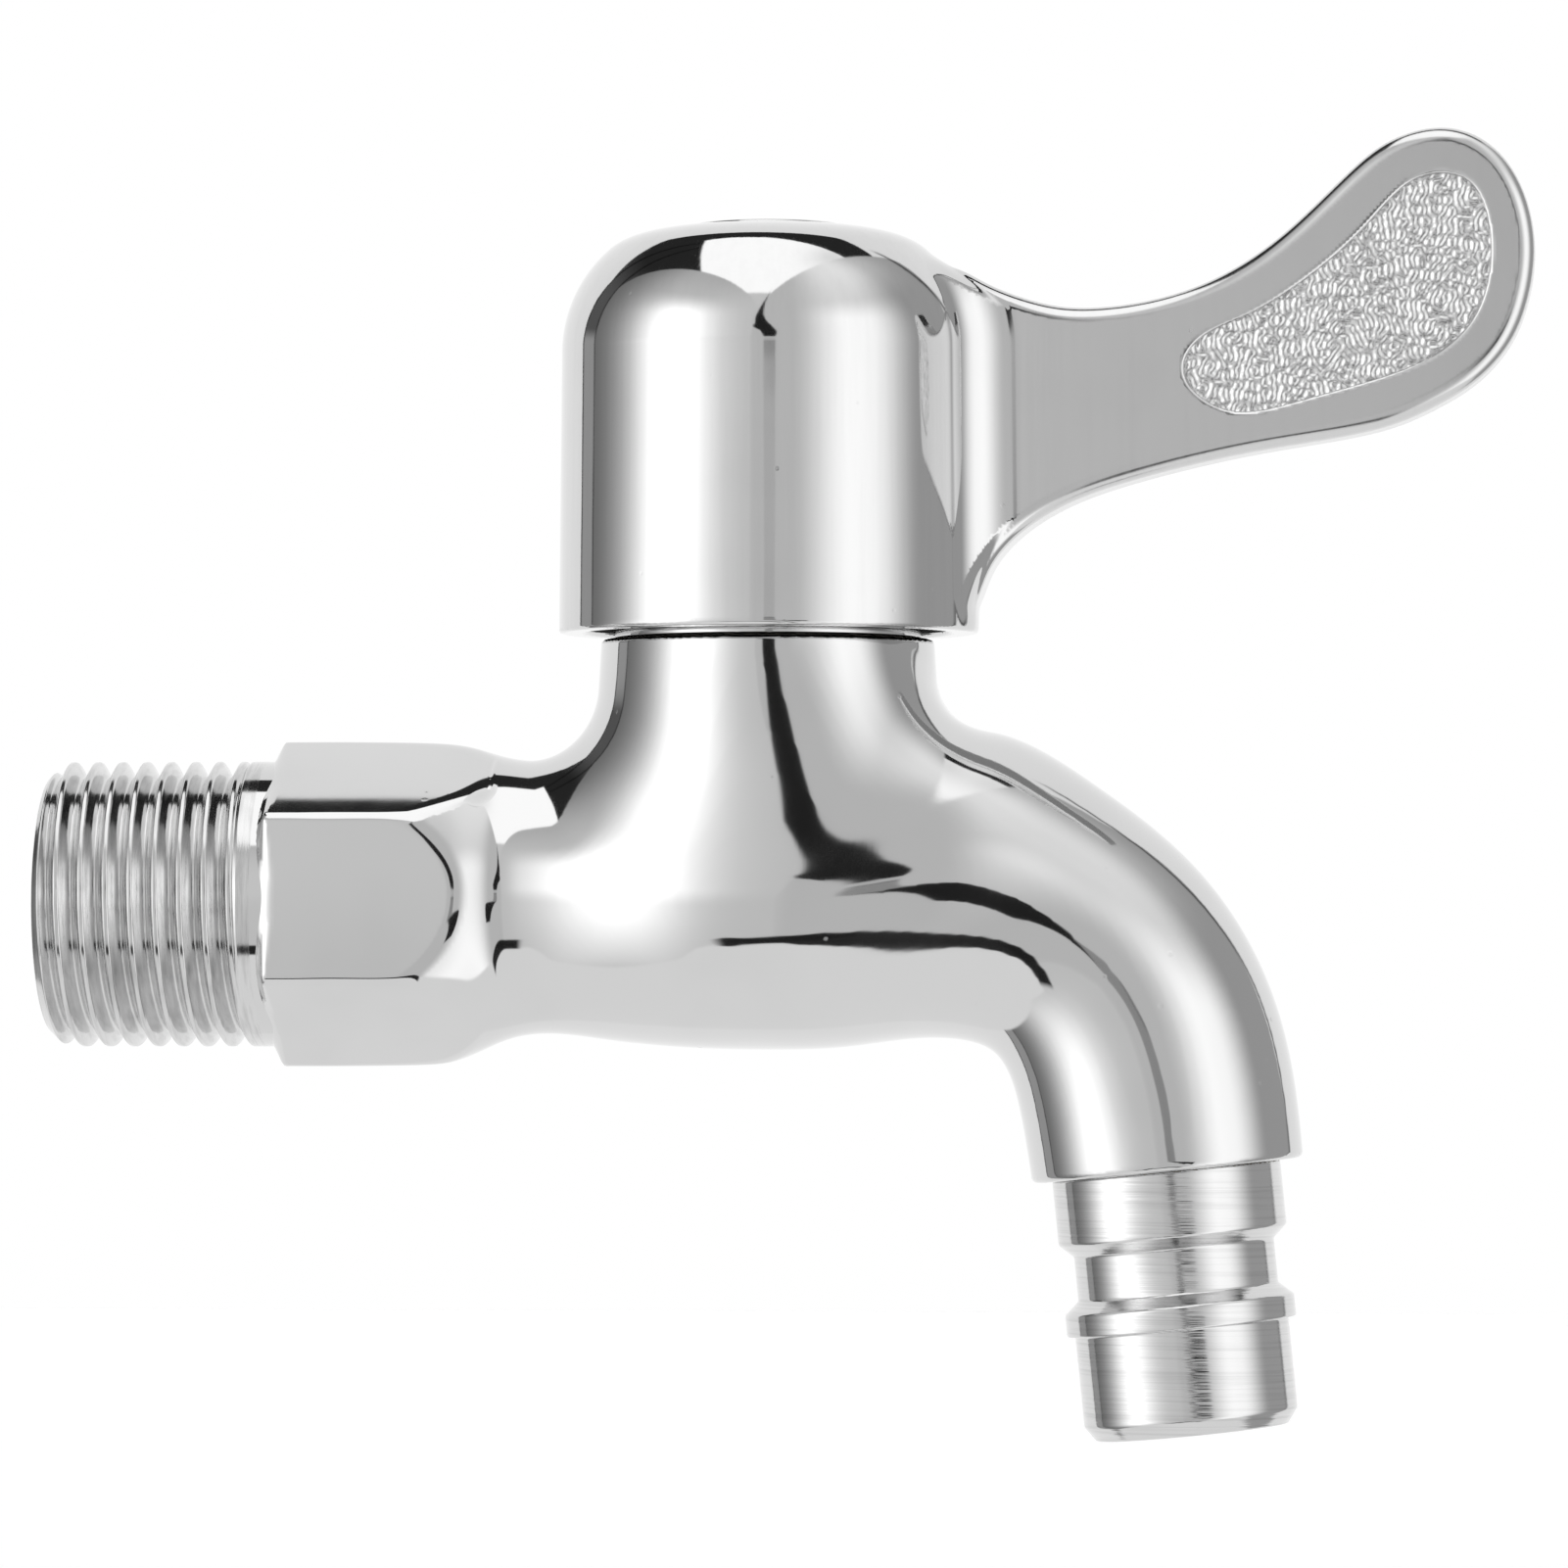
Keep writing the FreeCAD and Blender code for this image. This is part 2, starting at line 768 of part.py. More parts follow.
def make_circlip():
    """The open ring that keeps the spindle and stop ring on the bonnet."""
    inner_r = spline_r - circlip_groove_depth + contact_gap
    clip = ring(circlip_outer_r, inner_r, circlip_z, circlip_top_z)
    mouth = Part.makeBox(
        2 * circlip_outer_r,
        circlip_opening,
        circlip_thickness,
        V(tower_x - 2 * circlip_outer_r, -circlip_opening / 2, circlip_z),
    )
    return clip.cut(mouth)


def insert_form(radius, z_low, z_high):
    """A round sleeve blank with two flats that stop it turning in the boss."""
    blank = cylinder(radius, z_low, z_high)
    depth = radius - insert_flat_depth
    keep = Part.makeBox(
        2 * radius,
        2 * depth,
        z_high - z_low,
        V(tower_x - radius, -depth, z_low),
    )
    return blank.common(keep)


def make_spline_insert():
    """The moulded sleeve that fits the handle's boss to the spindle's splines."""
    blank = insert_form(insert_r, boss_bottom_z, boss_socket_top_z - contact_gap)
    return blank.cut(spline_prism(contact_gap, boss_bottom_z, boss_socket_top_z))


def cap_outside():
    """The bell of the handle as a solid of revolution, rounded over at the top."""
    rim = V(cap_rim_r, 0, rim_z)
    shoulder = V(cap_top_r, 0, rim_z + cap_straight_height)
    shoulder_mid = V(
        cap_top_r - cap_shoulder_mid_inset,
        0,
        rim_z + cap_shoulder_mid_height,
    )
    shoulder_end = V(cap_top_r - cap_shoulder_inset, 0, cap_crown_z - cap_crown_rise)
    # half way out, so shallow an arc has dropped by a quarter of its whole drop
    crown_mid = V(shoulder_end.x / 2, 0, cap_crown_z - cap_crown_rise / 4)
    crown = V(0, 0, cap_crown_z)
    base = V(0, 0, rim_z)
    edges = [
        Part.LineSegment(rim, shoulder).toShape(),
        Part.Arc(shoulder, shoulder_mid, shoulder_end).toShape(),
        Part.Arc(shoulder_end, crown_mid, crown).toShape(),
        Part.LineSegment(crown, base).toShape(),
        Part.LineSegment(base, rim).toShape(),
    ]
    bell = Part.Face(Part.Wire(edges)).revolve(ORIGIN, Z_AXIS, 360)
    bell.translate(tower_axis)
    return bell


def lever_blade():
    """The flat lever: its side outline cut to its thickness as seen from above."""
    outline = Part.Face(lever_outline(LEVER_TOP + LEVER_TIP + LEVER_UNDERSIDE))
    reach = 2 * cap_rim_r
    outline.translate(Y_AXIS * (-reach / 2))
    side = outline.extrude(Y_AXIS * reach)
    blend = lever_root_blend_r
    half = lever_root_half_thickness
    centre_x = math.sqrt((cap_rim_r + blend) ** 2 - (half + blend) ** 2)
    touch = cap_rim_r / (cap_rim_r + blend)
    touch_point = V(centre_x * touch, (half + blend) * touch, 0)
    mid_angle = (math.atan2(-(half + blend), -centre_x) - math.pi / 2) / 2
    arc_mid = V(
        centre_x + blend * math.cos(mid_angle),
        half + blend + blend * math.sin(mid_angle),
        0,
    )
    arc_end = V(centre_x, half, 0)
    tip = V(lever_tip_dx, lever_tip_half_thickness, 0)
    inside = V(0, touch_point.y, 0)
    upper = [
        Part.LineSegment(inside, touch_point).toShape(),
        Part.Arc(touch_point, arc_mid, arc_end).toShape(),
        Part.LineSegment(arc_end, tip).toShape(),
    ]
    mirror = [edge.mirror(ORIGIN, Y_AXIS) for edge in upper]
    ends = [
        Part.LineSegment(inside, V(0, -inside.y, 0)).toShape(),
        Part.LineSegment(tip, V(tip.x, -tip.y, 0)).toShape(),
    ]
    plan_wire = Part.Wire(Part.sortEdges(upper + mirror + ends)[0])
    plan = Part.Face(plan_wire).extrude(Z_AXIS * 2 * cap_height)
    plan.translate(tower_axis + Z_AXIS * rim_z)
    blade = side.common(plan)
    rounded = [
        edge
        for edge in blade.Edges
        if edge.BoundBox.XMin > tower_x + cap_rim_r and edge.Length > 2 * cap_rim_r
    ]
    return blade.makeFillet(lever_edge_round, rounded)


def grip_pockets():
    """The shallow grip recess on each face of the lever, as solids to cut away."""
    depth_span = (lever_root_half_thickness - lever_tip_half_thickness) + grip_depth
    pockets = []
    for side in (-1, 1):
        face = Part.Face(lever_outline(GRIP_OUTLINE))
        face.translate(Y_AXIS * side * (lever_tip_half_thickness - grip_depth / 2))
        pockets.append(face.extrude(Y_AXIS * side * 2 * depth_span))
    return pockets


def make_handle():
    """The handle: bell, lever and the boss inside that takes the splined insert."""
    outside = cap_outside().fuse(lever_blade())
    inner_low_r = cap_rim_r - cap_wall
    inner_top_r = cap_top_r - cap_wall
    hollow = revolve_profile(
        [
            (rim_z, 0),
            (rim_z, inner_low_r),
            (rim_z + cap_straight_height, inner_top_r),
            (cap_roof_z, inner_top_r - cap_inner_round),
            (cap_roof_z, 0),
        ],
        tower_axis,
        Z_AXIS,
        X_AXIS,
    )
    shell = outside.cut([hollow] + grip_pockets())
    boss = cylinder(boss_r, boss_bottom_z, cap_roof_z + contact_gap)
    socket = insert_form(boss_socket_r, boss_bottom_z, boss_socket_top_z)
    screw_hole = cylinder(screw_clearance_r, boss_bottom_z, cap_crown_z)
    counterbore = cylinder(counterbore_r, boss_web_top_z, cap_crown_z)
    index_seat = cylinder(index_cap_r + contact_gap, index_seat_z, cap_crown_z)
    holes = [socket, screw_hole, counterbore, index_seat]
    return shell.fuse(boss).cut(holes).removeSplitter()


def make_handle_screw():
    """The screw that holds the handle on the spindle."""
    shank = cylinder(screw_r, screw_head_z - screw_length, screw_head_z)
    head = cylinder(screw_head_r, screw_head_z, screw_head_z + screw_head_height)
    slots = []
    for angle in (0, 90):
        slot = Part.makeBox(
            screw_slot_length,
            screw_slot_width,
            screw_slot_depth,
            V(
                tower_x - screw_slot_length / 2,
                -screw_slot_width / 2,
                screw_head_z + screw_head_height - screw_slot_depth,
            ),
        )
        slot.rotate(tower_axis, Z_AXIS, angle)
        slots.append(slot)
    return shank.fuse(head).cut(slots).removeSplitter()


def make_lock_washer():
    """The split spring washer under the screw's head."""
    washer = ring(screw_head_r, screw_clearance_r, boss_web_top_z, screw_head_z)
    split = Part.makeBox(
        screw_head_r,
        lock_washer_split,
        lock_washer_thickness,
        V(tower_x, -lock_washer_split / 2, boss_web_top_z),
    )
    return washer.cut(split)


def make_index_cap():
    """The domed button over the screw, with a snap skirt in the counterbore."""
    button = cylinder(index_cap_r, index_seat_z, cap_crown_z)
    dome_r = (index_cap_r ** 2 + index_cap_proud ** 2) / (2 * index_cap_proud)
    top = cylinder(index_cap_r, cap_crown_z, cap_crown_z + index_cap_proud)
    ball = Part.makeSphere(dome_r, V(tower_x, 0, cap_crown_z + index_cap_proud - dome_r))
    skirt = ring(
        counterbore_r - contact_gap,
        index_skirt_inner_r,
        index_seat_z - index_cap_skirt_length,
        index_seat_z,
    )
    return button.fuse([top.common(ball), skirt]).removeSplitter()


PIECES = {
    "tap_body": make_tap_body,
    "nozzle": make_nozzle,
    "nozzle_gasket": make_nozzle_gasket,
    "bonnet": make_bonnet,
    "bonnet_gasket": make_bonnet_gasket,
    "seat_seal": make_seat_seal,
    "seal_support_ring": make_seal_support_ring,
    "fixed_disc": make_fixed_disc,
    "moving_disc": make_moving_disc,
    "spindle": make_spindle,
    "lower_o_ring": lambda: make_spindle_o_ring(lower_ring_height),
    "upper_o_ring": lambda: make_spindle_o_ring(upper_ring_height),
    "thrust_washer": make_thrust_washer,
    "stop_ring": make_stop_ring,
    "circlip": make_circlip,
    "spline_insert": make_spline_insert,
    "handle": make_handle,
    "handle_screw": make_handle_screw,
    "lock_washer": make_lock_washer,
    "index_cap": make_index_cap,
}

os.makedirs("parts", exist_ok=True)
for name, make in PIECES.items():
    shape = make()
    print(name, shape.isValid(), len(shape.Solids), round(shape.Volume, 1))
    shape.exportStep(f"parts/{name}.step")
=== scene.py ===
import json
import math

import bpy
import numpy as np
from mathutils import Matrix, Vector


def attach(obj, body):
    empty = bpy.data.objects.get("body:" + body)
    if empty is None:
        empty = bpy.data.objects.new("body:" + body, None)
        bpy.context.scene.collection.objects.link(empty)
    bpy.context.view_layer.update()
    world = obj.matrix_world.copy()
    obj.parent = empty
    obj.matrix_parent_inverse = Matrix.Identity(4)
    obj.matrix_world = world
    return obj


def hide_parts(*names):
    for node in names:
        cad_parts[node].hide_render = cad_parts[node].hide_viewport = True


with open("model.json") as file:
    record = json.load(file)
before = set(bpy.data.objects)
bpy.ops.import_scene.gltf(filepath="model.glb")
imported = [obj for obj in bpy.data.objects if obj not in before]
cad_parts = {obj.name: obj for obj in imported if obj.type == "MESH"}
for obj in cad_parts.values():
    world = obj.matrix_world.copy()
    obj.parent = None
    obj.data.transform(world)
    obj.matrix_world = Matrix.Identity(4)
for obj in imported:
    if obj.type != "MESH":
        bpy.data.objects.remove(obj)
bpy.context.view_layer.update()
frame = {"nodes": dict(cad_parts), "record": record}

MM = 0.001

# Sizes of the CAD part, in millimetres, that the skins below follow
THREAD_R, THREAD_DEPTH, PITCH = 10.4775, 1.162, 1.814
FIRST_CREST_X, FLANK_ANGLE = -14.99, math.radians(27.5)
INLET_X, BORE_R = -16.5, 7.0
HEX_FLAT = 10.65
TOWER_X, TOWER_TOP_Z, TOWER_TOP_R = 36.4, 21.5, 12.05
TOWER_DRAFT = math.radians(3.5)
COLLAR_Z, COLLAR_R = 19.3, 11.2
SPOUT_END = np.array([65.65, 0.0, -19.45])
TILT = math.radians(5.7)
RIM_Z, RIM_R, CROWN_Z = 19.75, 15.3, 49.85
FLOOR_Z = -62.0

# Passages of the body: inlet bore, feed, chamber, outlet and the nozzle's socket
INLET_BORE_END_X = 19.6
FEED_X, FEED_Z, FEED_R, FEED_HALF_LENGTH = 28.0, -4.9, 3.2, 12.0
CHAMBER_R, CHAMBER_FLOOR_Z = 9.55, 0.6
OUTLET_R = 5.6
SOCKET_R, SOCKET_DEPTH = 7.35, 8.0

# Bell: its side leans in by BELL_LEAN over BELL_LEAN_HEIGHT, then shoulder and crown
BELL_LEAN, BELL_LEAN_HEIGHT = 0.2, 20.55
SHOULDER_Z, SHOULDER_R, SHOULDER_X = 40.3, 10.06, 5.04
CROWN_R = 62.9
BELL_BORE_R, BELL_ROOF_Z = 13.3, 46.55
BOSS_R, BOSS_FOOT_Z = 6.9, 33.4
SPLINE_SOCKET_R, SPLINE_SOCKET_TOP_Z = 5.4, 41.5
SCREW_HOLE_R, SCREW_HOLE_FOOT_Z = 2.2, 33.0
SCREW_HEAD_R, SCREW_HEAD_SEAT_Z = 4.4, 44.0
CAP_SEAT_R, CAP_SEAT_Z = 5.65, 48.65

# Lever: rounded edges, and a grip recess on both faces
EDGE_ROUND = 1.1
GRIP_DEPTH, GRIP_POCKET = 0.45, 0.9

# Points whose distances are taken at once
CHUNK = 40000

# Camera: the photograph's place, level and distance
YAW, ELEVATION, DISTANCE = math.radians(5.7), math.radians(-1.5), 623.66
TARGET_X, TARGET_RIGHT, TARGET_UP = 36.5, 1.075, 8.745
HALF_IMAGE, FOCAL_LENGTH = 800.5, 8700  # in pixels of the 1601 x 1601 image


def make_camera():
    """The camera, level with the photograph's, aimed at the middle of its frame."""
    right = np.array([math.cos(YAW), math.sin(YAW), 0.0])
    back = np.array([
        math.sin(YAW) * math.cos(ELEVATION),
        -math.cos(YAW) * math.cos(ELEVATION),
        math.sin(ELEVATION),
    ])
    up = np.cross(back, right)
    target = np.array([TARGET_X, 0.0, 0.0]) + TARGET_RIGHT * right + TARGET_UP * up
    place = (target + DISTANCE * back) * MM
    data = bpy.data.cameras.new("camera")
    data.sensor_width = 36.0
    data.sensor_height = 36.0
    data.angle = 2 * math.atan(HALF_IMAGE / FOCAL_LENGTH)
    data.clip_start = 0.01
    data.clip_end = 50.0
    camera = bpy.data.objects.new("camera", data)
    rotation = Matrix((right, up, back)).transposed().to_4x4()
    camera.matrix_world = Matrix.Translation(Vector(place)) @ rotation
    bpy.context.scene.collection.objects.link(camera)
    bpy.context.scene.camera = camera


make_camera()
bpy.context.scene.view_settings.view_transform = "Standard"


# Mesh helpers
def make_mesh(name, verts, faces, normals=None):
    """A mesh object from arrays: verts in millimetres, faces all of one size."""
    mesh = bpy.data.meshes.new(name)
    size = faces.shape[1]
    mesh.vertices.add(len(verts))
    mesh.vertices.foreach_set("co", (verts * MM).astype(np.float32).ravel())
    mesh.loops.add(faces.size)
    mesh.loops.foreach_set("vertex_index", faces.astype(np.int32).ravel())
    mesh.polygons.add(len(faces))
    mesh.polygons.foreach_set("loop_start", np.arange(0, faces.size, size, dtype=np.int32))
    mesh.polygons.foreach_set("use_smooth", np.ones(len(faces), dtype=bool))
    mesh.update(calc_edges=True)
    mesh.validate(clean_customdata=False)
    if normals is not None:
        mesh.normals_split_custom_set_from_vertices(normals.astype(np.float32))
    piece = bpy.data.objects.new(name, mesh)
    bpy.context.scene.collection.objects.link(piece)
    return piece


def natural_spline(knots, values, query):
    """A natural cubic spline through values (rows) at knots, taken at query."""
    n = len(knots)
    step = np.diff(knots)
    system = np.eye(n)
    right = np.zeros((n, values.shape[1]))
    for i in range(1, n - 1):
        system[i, i - 1] = step[i - 1]
        system[i, i] = 2 * (step[i - 1] + step[i])
        system[i, i + 1] = step[i]
        right[i] = 6 * (
            (values[i + 1] - values[i]) / step[i]
            - (values[i] - values[i - 1]) / step[i - 1]
        )
    bend = np.linalg.solve(system, right)
    i = np.clip(np.searchsorted(knots, query) - 1, 0, n - 2)
    h = step[i][:, None]
    b = (query - knots[i])[:, None] / h
    a = 1 - b
    return (
        a * values[i]
        + b * values[i + 1]
        + ((a ** 3 - a) * bend[i] + (b ** 3 - b) * bend[i + 1]) * h ** 2 / 6
    )


def surface_nets(form, low, high, step):
    """Quads of the surface form = 0 on a grid."""
    axes = [np.arange(a, b + step, step) for a, b in zip(low, high)]
    x, y, z = axes[0][:, None, None], axes[1][None, :, None], axes[2][None, None, :]
    value = form.field(x, y, z, form.plan(x, z)).astype(np.float32)
    inside = value < 0
    corners = [(i, j, k) for i in (0, 1) for j in (0, 1) for k in (0, 1)]

    def part(array, c):
        nx, ny, nz = array.shape
        return array[c[0]:nx - 1 + c[0], c[1]:ny - 1 + c[1], c[2]:nz - 1 + c[2]]

    count = sum(part(inside, c).astype(np.int8) for c in corners)
    cells = np.argwhere((count > 0) & (count < 8))
    lookup = np.full(count.shape, -1, dtype=np.int32)
    lookup[tuple(cells.T)] = np.arange(len(cells))
    total = np.zeros((len(cells), 3))
    crossings = np.zeros(len(cells))
    for a in corners:
        for b in corners:
            if sum(b) - sum(a) != 1 or any(q < p for p, q in zip(a, b)):
                continue
            va = value[tuple((cells + a).T)]
            vb = value[tuple((cells + b).T)]
            cross = (va < 0) != (vb < 0)
            share = np.where(cross, va / np.where(cross, va - vb, 1), 0)
            place = np.array(a) + share[:, None] * (np.array(b) - np.array(a))
            total += place * cross[:, None]
            crossings += cross
    verts = (cells + total / crossings[:, None]) * step + np.array([ax[0] for ax in axes])
    quads = []
    for axis in range(3):
        ahead = [0, 0, 0]
        ahead[axis] = 1
        size = [n - ahead[i] for i, n in enumerate(inside.shape)]
        first = inside[:size[0], :size[1], :size[2]]
        second = inside[ahead[0]:, ahead[1]:, ahead[2]:]
        one, two = (axis + 1) % 3, (axis + 2) % 3
        edges = np.argwhere(first != second)
        keep = (edges[:, one] > 0) & (edges[:, two] > 0)
        keep &= (edges[:, one] < inside.shape[one] - 1) & (edges[:, two] < inside.shape[two] - 1)
        edges = edges[keep]
        flip = first[tuple(edges.T)]
        around = []
        for back_one, back_two in ((1, 1), (0, 1), (0, 0), (1, 0)):
            cell = edges.copy()
            cell[:, one] -= back_one
            cell[:, two] -= back_two
            around.append(lookup[tuple(cell.T)])
        quad = np.stack(around, axis=1)
        quad[~flip] = quad[~flip][:, ::-1]
        quads.append(quad)
    return verts, np.concatenate(quads)


def gradient(form, points, plan, step=0.03):
    """The form's slope at points, by central differences."""
    slopes = []
    for axis in range(3):
        both = []
        for sign in (1, -1):
            shift = np.zeros(3)
            shift[axis] = sign * step
            moved = form.moved(plan, shift[0], shift[2])
            both.append(form.field(*(points + shift).T, moved))
        slopes.append((both[0] - both[1]) / (2 * step))
    return np.stack(slopes, axis=1)


def ease(value, low, high):
    """0 at low, 1 at high, eased at both ends; low may be the larger."""
    share = np.clip((value - low) / (high - low), 0, 1)
    return share ** 2 * (3 - 2 * share)


def even_out(normals, quads, weight, rounds):
    """Normals averaged with their neighbours', as polishing softens a casting."""
    sides = np.concatenate([quads[:, [i, (i + 1) % 4]] for i in range(4)])
    sides = np.concatenate([sides, sides[:, ::-1]])
    sides = sides[weight[sides[:, 0]] > 0]
    around = np.maximum(np.bincount(sides[:, 0], minlength=len(normals)), 1)
    for _ in range(rounds):
        total = np.stack(
            [np.bincount(sides[:, 0], normals[sides[:, 1], i], len(normals)) for i in range(3)],
            axis=1,
        )
        mean = total / around[:, None]
        normals = normals + (weight * 0.8)[:, None] * (mean - normals)
        normals = normals / np.maximum(np.linalg.norm(normals, axis=1), 1e-6)[:, None]
    return normals


def implicit_mesh(name, form, low, high, step):
    """A fine mesh that lies on form = 0, with the form's own normals."""
    verts, quads = surface_nets(form, low, high, step)
    for _ in range(3):
        plan = form.plan(verts[:, 0], verts[:, 2])
        slope = gradient(form, verts, plan)
        size = np.maximum((slope ** 2).sum(axis=1), 0.05)
        shift = slope * (form.field(*verts.T, plan) / size)[:, None]
        reach = np.maximum(np.linalg.norm(shift, axis=1) / step, 1)
        verts = verts - shift / reach[:, None]
    slope = gradient(form, verts, form.plan(verts[:, 0], verts[:, 2]))
    normals = slope / np.maximum(np.linalg.norm(slope, axis=1), 1e-6)[:, None]
    normals = even_out(normals, quads, form.polish(*verts.T), 90)
    return make_mesh(name, verts, quads, normals)


def soft_max(a, b, k):
    """The larger of two distances, with the edge between them rounded."""
    share = np.maximum(k - np.abs(a - b), 0) / k
    return np.maximum(a, b) + share ** 2 * k / 4


def rolling_union(a, b, cosine, radius):
    """Two distances joined by the fillet of a ball that rolls along both surfaces."""
    p, q = radius - a, radius - b
    spread = np.maximum(1 - cosine ** 2, 1e-4)
    on_a = p - cosine * q
    on_b = q - cosine * p
    away = np.sqrt(np.maximum(p ** 2 + q ** 2 - 2 * cosine * p * q, 0) / spread)
    return np.where((on_a > 0) & (on_b > 0), radius - away, np.minimum(a, b))


# Body: hexagon, neck, belly and spout along one spine, with the tower on it.
# Each section is x, z, half height, half width and slope in degrees.
TUBE_SECTIONS = np.array([
    (0.0, 0.0, 12.5, 12.5, 0.0),
    (6.0, 0.0, 12.15, 12.15, 0.0),
    (11.0, 0.0, 11.93, 12.00, 0.0),
    (12.9, 0.05, 11.72, 11.40, 0.0),
    (15.2, 0.25, 11.07, 10.50, 0.0),
    (16.9, 0.37, 10.45, 9.75, 0.0),
    (19.5, 0.45, 10.00, 9.70, 0.0),
    (24.4, 0.30, 10.25, 10.90, 0.0),
    (29.9, 0.10, 10.60, 12.90, 0.0),
    (36.4, 0.05, 10.75, 14.00, 2.0),
    (43.2, 0.45, 11.05, 13.75, 7.0),
    (50.0, 1.30, 11.55, 12.90, 14.5),
    (56.0, -0.85, 10.38, 11.20, 27.0),
    (60.7, -4.50, 9.95, 10.30, 48.0),
    (63.75, -9.70, 10.02, 10.10, 67.0),
    (64.95, -14.30, 10.02, 10.02, 79.0),
    (65.65, -19.45, 9.90, 9.90, 84.3),
])


def spine_table():
    chords = np.hypot(np.diff(TUBE_SECTIONS[:, 0]), np.diff(TUBE_SECTIONS[:, 1]))
    knots = np.concatenate([[0], np.cumsum(chords)])
    along = np.linspace(0, knots[-1], 4001)
    values = natural_spline(knots, TUBE_SECTIONS, along)
    values[:, 4] = np.radians(values[:, 4])
    return along, values


SPINE_T, SPINE = spine_table()
SPINE_TURN = np.gradient(SPINE[:, 4], SPINE_T)


def spine_seek(x, z, t, rounds):
    """Moves t to the section through each point (x, z)."""
    for _ in range(rounds):
        dx = x - np.interp(t, SPINE_T, SPINE[:, 0])
        dz = z - np.interp(t, SPINE_T, SPINE[:, 1])
        slope = np.interp(t, SPINE_T, SPINE[:, 4])
        turn = np.interp(t, SPINE_T, SPINE_TURN)
        sine, cosine = np.sin(slope), np.cos(slope)
        rate = np.maximum(1 + turn * (dx * sine + dz * cosine), 0.2)
        t = np.clip(t + (dx * cosine - dz * sine) / rate, 0, SPINE_T[-1])
    return t


def spine_place(x, z):
    """Where along the spine the section through each point (x, z) lies."""
    shape = np.broadcast(x, z).shape
    x, z = np.broadcast_to(x, shape).ravel(), np.broadcast_to(z, shape).ravel()
    knots, table = SPINE_T[::20], SPINE[::20]
    t = np.empty(len(x))
    for start in range(0, len(x), CHUNK):
        part = slice(start, start + CHUNK)
        far = (x[part, None] - table[:, 0]) ** 2 + (z[part, None] - table[:, 1]) ** 2
        t[part] = knots[far.argmin(axis=1)]
    return spine_seek(x, z, t, 4).reshape(shape)


HEX_ANGLES = np.radians([-1.5, 58.5, 118.5, 178.5, 238.5, 298.5])
HEX_CROWN_R = 88.0
SPOUT_START_T = np.interp(44.0, SPINE[:, 0], SPINE_T)


def beyond_spout(x, z):
    """Distance past the plane of the spout's end."""
    return (x - SPOUT_END[0]) * math.sin(TILT) - (z - SPOUT_END[2]) * math.cos(TILT)


def body_field(x, y, z, plan):
    """Signed distance to the body, about true near its surface."""
    t = spine_seek(x, z, plan, 2)
    cx, cz, half_height, half_width, slope = (
        np.interp(t, SPINE_T, SPINE[:, i]) for i in range(5)
    )
    across = (x - cx) * np.sin(slope) + (z - cz) * np.cos(slope)
    radius = np.sqrt(across ** 2 + y ** 2) + 1e-9
    share = np.sqrt((across / half_height) ** 2 + (y / half_width) ** 2) + 1e-9
    tube = radius - radius / share
    # the tower, joined by a rolling fillet
    tower_r = np.sqrt((x - TOWER_X) ** 2 + y ** 2) + 1e-9
    cone = tower_r - TOWER_TOP_R - (TOWER_TOP_Z - z) * math.tan(TOWER_DRAFT)
    cone = cone * math.cos(TOWER_DRAFT)
    n_up, n_side = across / half_height ** 2, y / half_width ** 2
    n_size = np.sqrt(n_up ** 2 + n_side ** 2) + 1e-9
    cosine = (
        (x - TOWER_X) / tower_r * math.cos(TOWER_DRAFT) * n_up * np.sin(slope)
        + y / tower_r * math.cos(TOWER_DRAFT) * n_side
        + math.sin(TOWER_DRAFT) * n_up * np.cos(slope)
    ) / n_size
    to_spout = np.maximum((x - TOWER_X) / tower_r, 0)
    flare = 5.5 + (y / tower_r) ** 2 * (7.0 + 24.0 * to_spout)
    skin = np.where(z > 0.3, rolling_union(tube, cone, cosine, flare), tube)
    skin = soft_max(skin, np.minimum(z - COLLAR_Z, tower_r - COLLAR_R), 0.4)
    skin = soft_max(skin, z - TOWER_TOP_Z + 0 * x, 0.5)
    # the hexagon's flats and its front chamfer
    inlet_r = np.sqrt(y ** 2 + z ** 2)
    flats = -99.0
    for angle in HEX_ANGLES:
        along = z * math.cos(angle) - y * math.sin(angle)
        side = y * math.cos(angle) + z * math.sin(angle) - HEX_FLAT
        side = side + along ** 2 / (2 * HEX_CROWN_R)
        flats = soft_max(flats, side, 0.45)
    flats = flats - 2.0 * np.maximum(x - 16.6, 0)
    skin = soft_max(skin, flats, 0.35)
    chamfer = (inlet_r - THREAD_R - x * 2.4) * 0.385
    skin = soft_max(skin, chamfer, 0.25 + 1.1 * np.clip((11.9 - inlet_r) / 1.2, 0, 1))
    skin = np.maximum(skin, -x + 0 * y)
    # the spout's end
    end = beyond_spout(x, z)
    skin = soft_max(skin, end + 0 * y, 0.5)
    # the passages inside
    inlet = np.maximum(inlet_r - BORE_R, x - INLET_BORE_END_X)
    feed_r = np.sqrt(y ** 2 + (z - FEED_Z) ** 2)
    feed = np.maximum(feed_r - FEED_R, np.abs(x - FEED_X) - FEED_HALF_LENGTH)
    chamber = np.maximum(tower_r - CHAMBER_R, CHAMBER_FLOOR_Z - z)
    outlet = np.maximum(radius - OUTLET_R, SPOUT_START_T - t)
    off_axis = (x - SPOUT_END[0]) * math.cos(TILT) + (z - SPOUT_END[2]) * math.sin(TILT)
    socket = np.maximum(np.sqrt(off_axis ** 2 + y ** 2) - SOCKET_R, -SOCKET_DEPTH - end)
    hollow = np.minimum(np.minimum(inlet, feed), np.minimum(chamber, outlet))
    return soft_max(skin, -np.minimum(hollow, socket), 0.3)


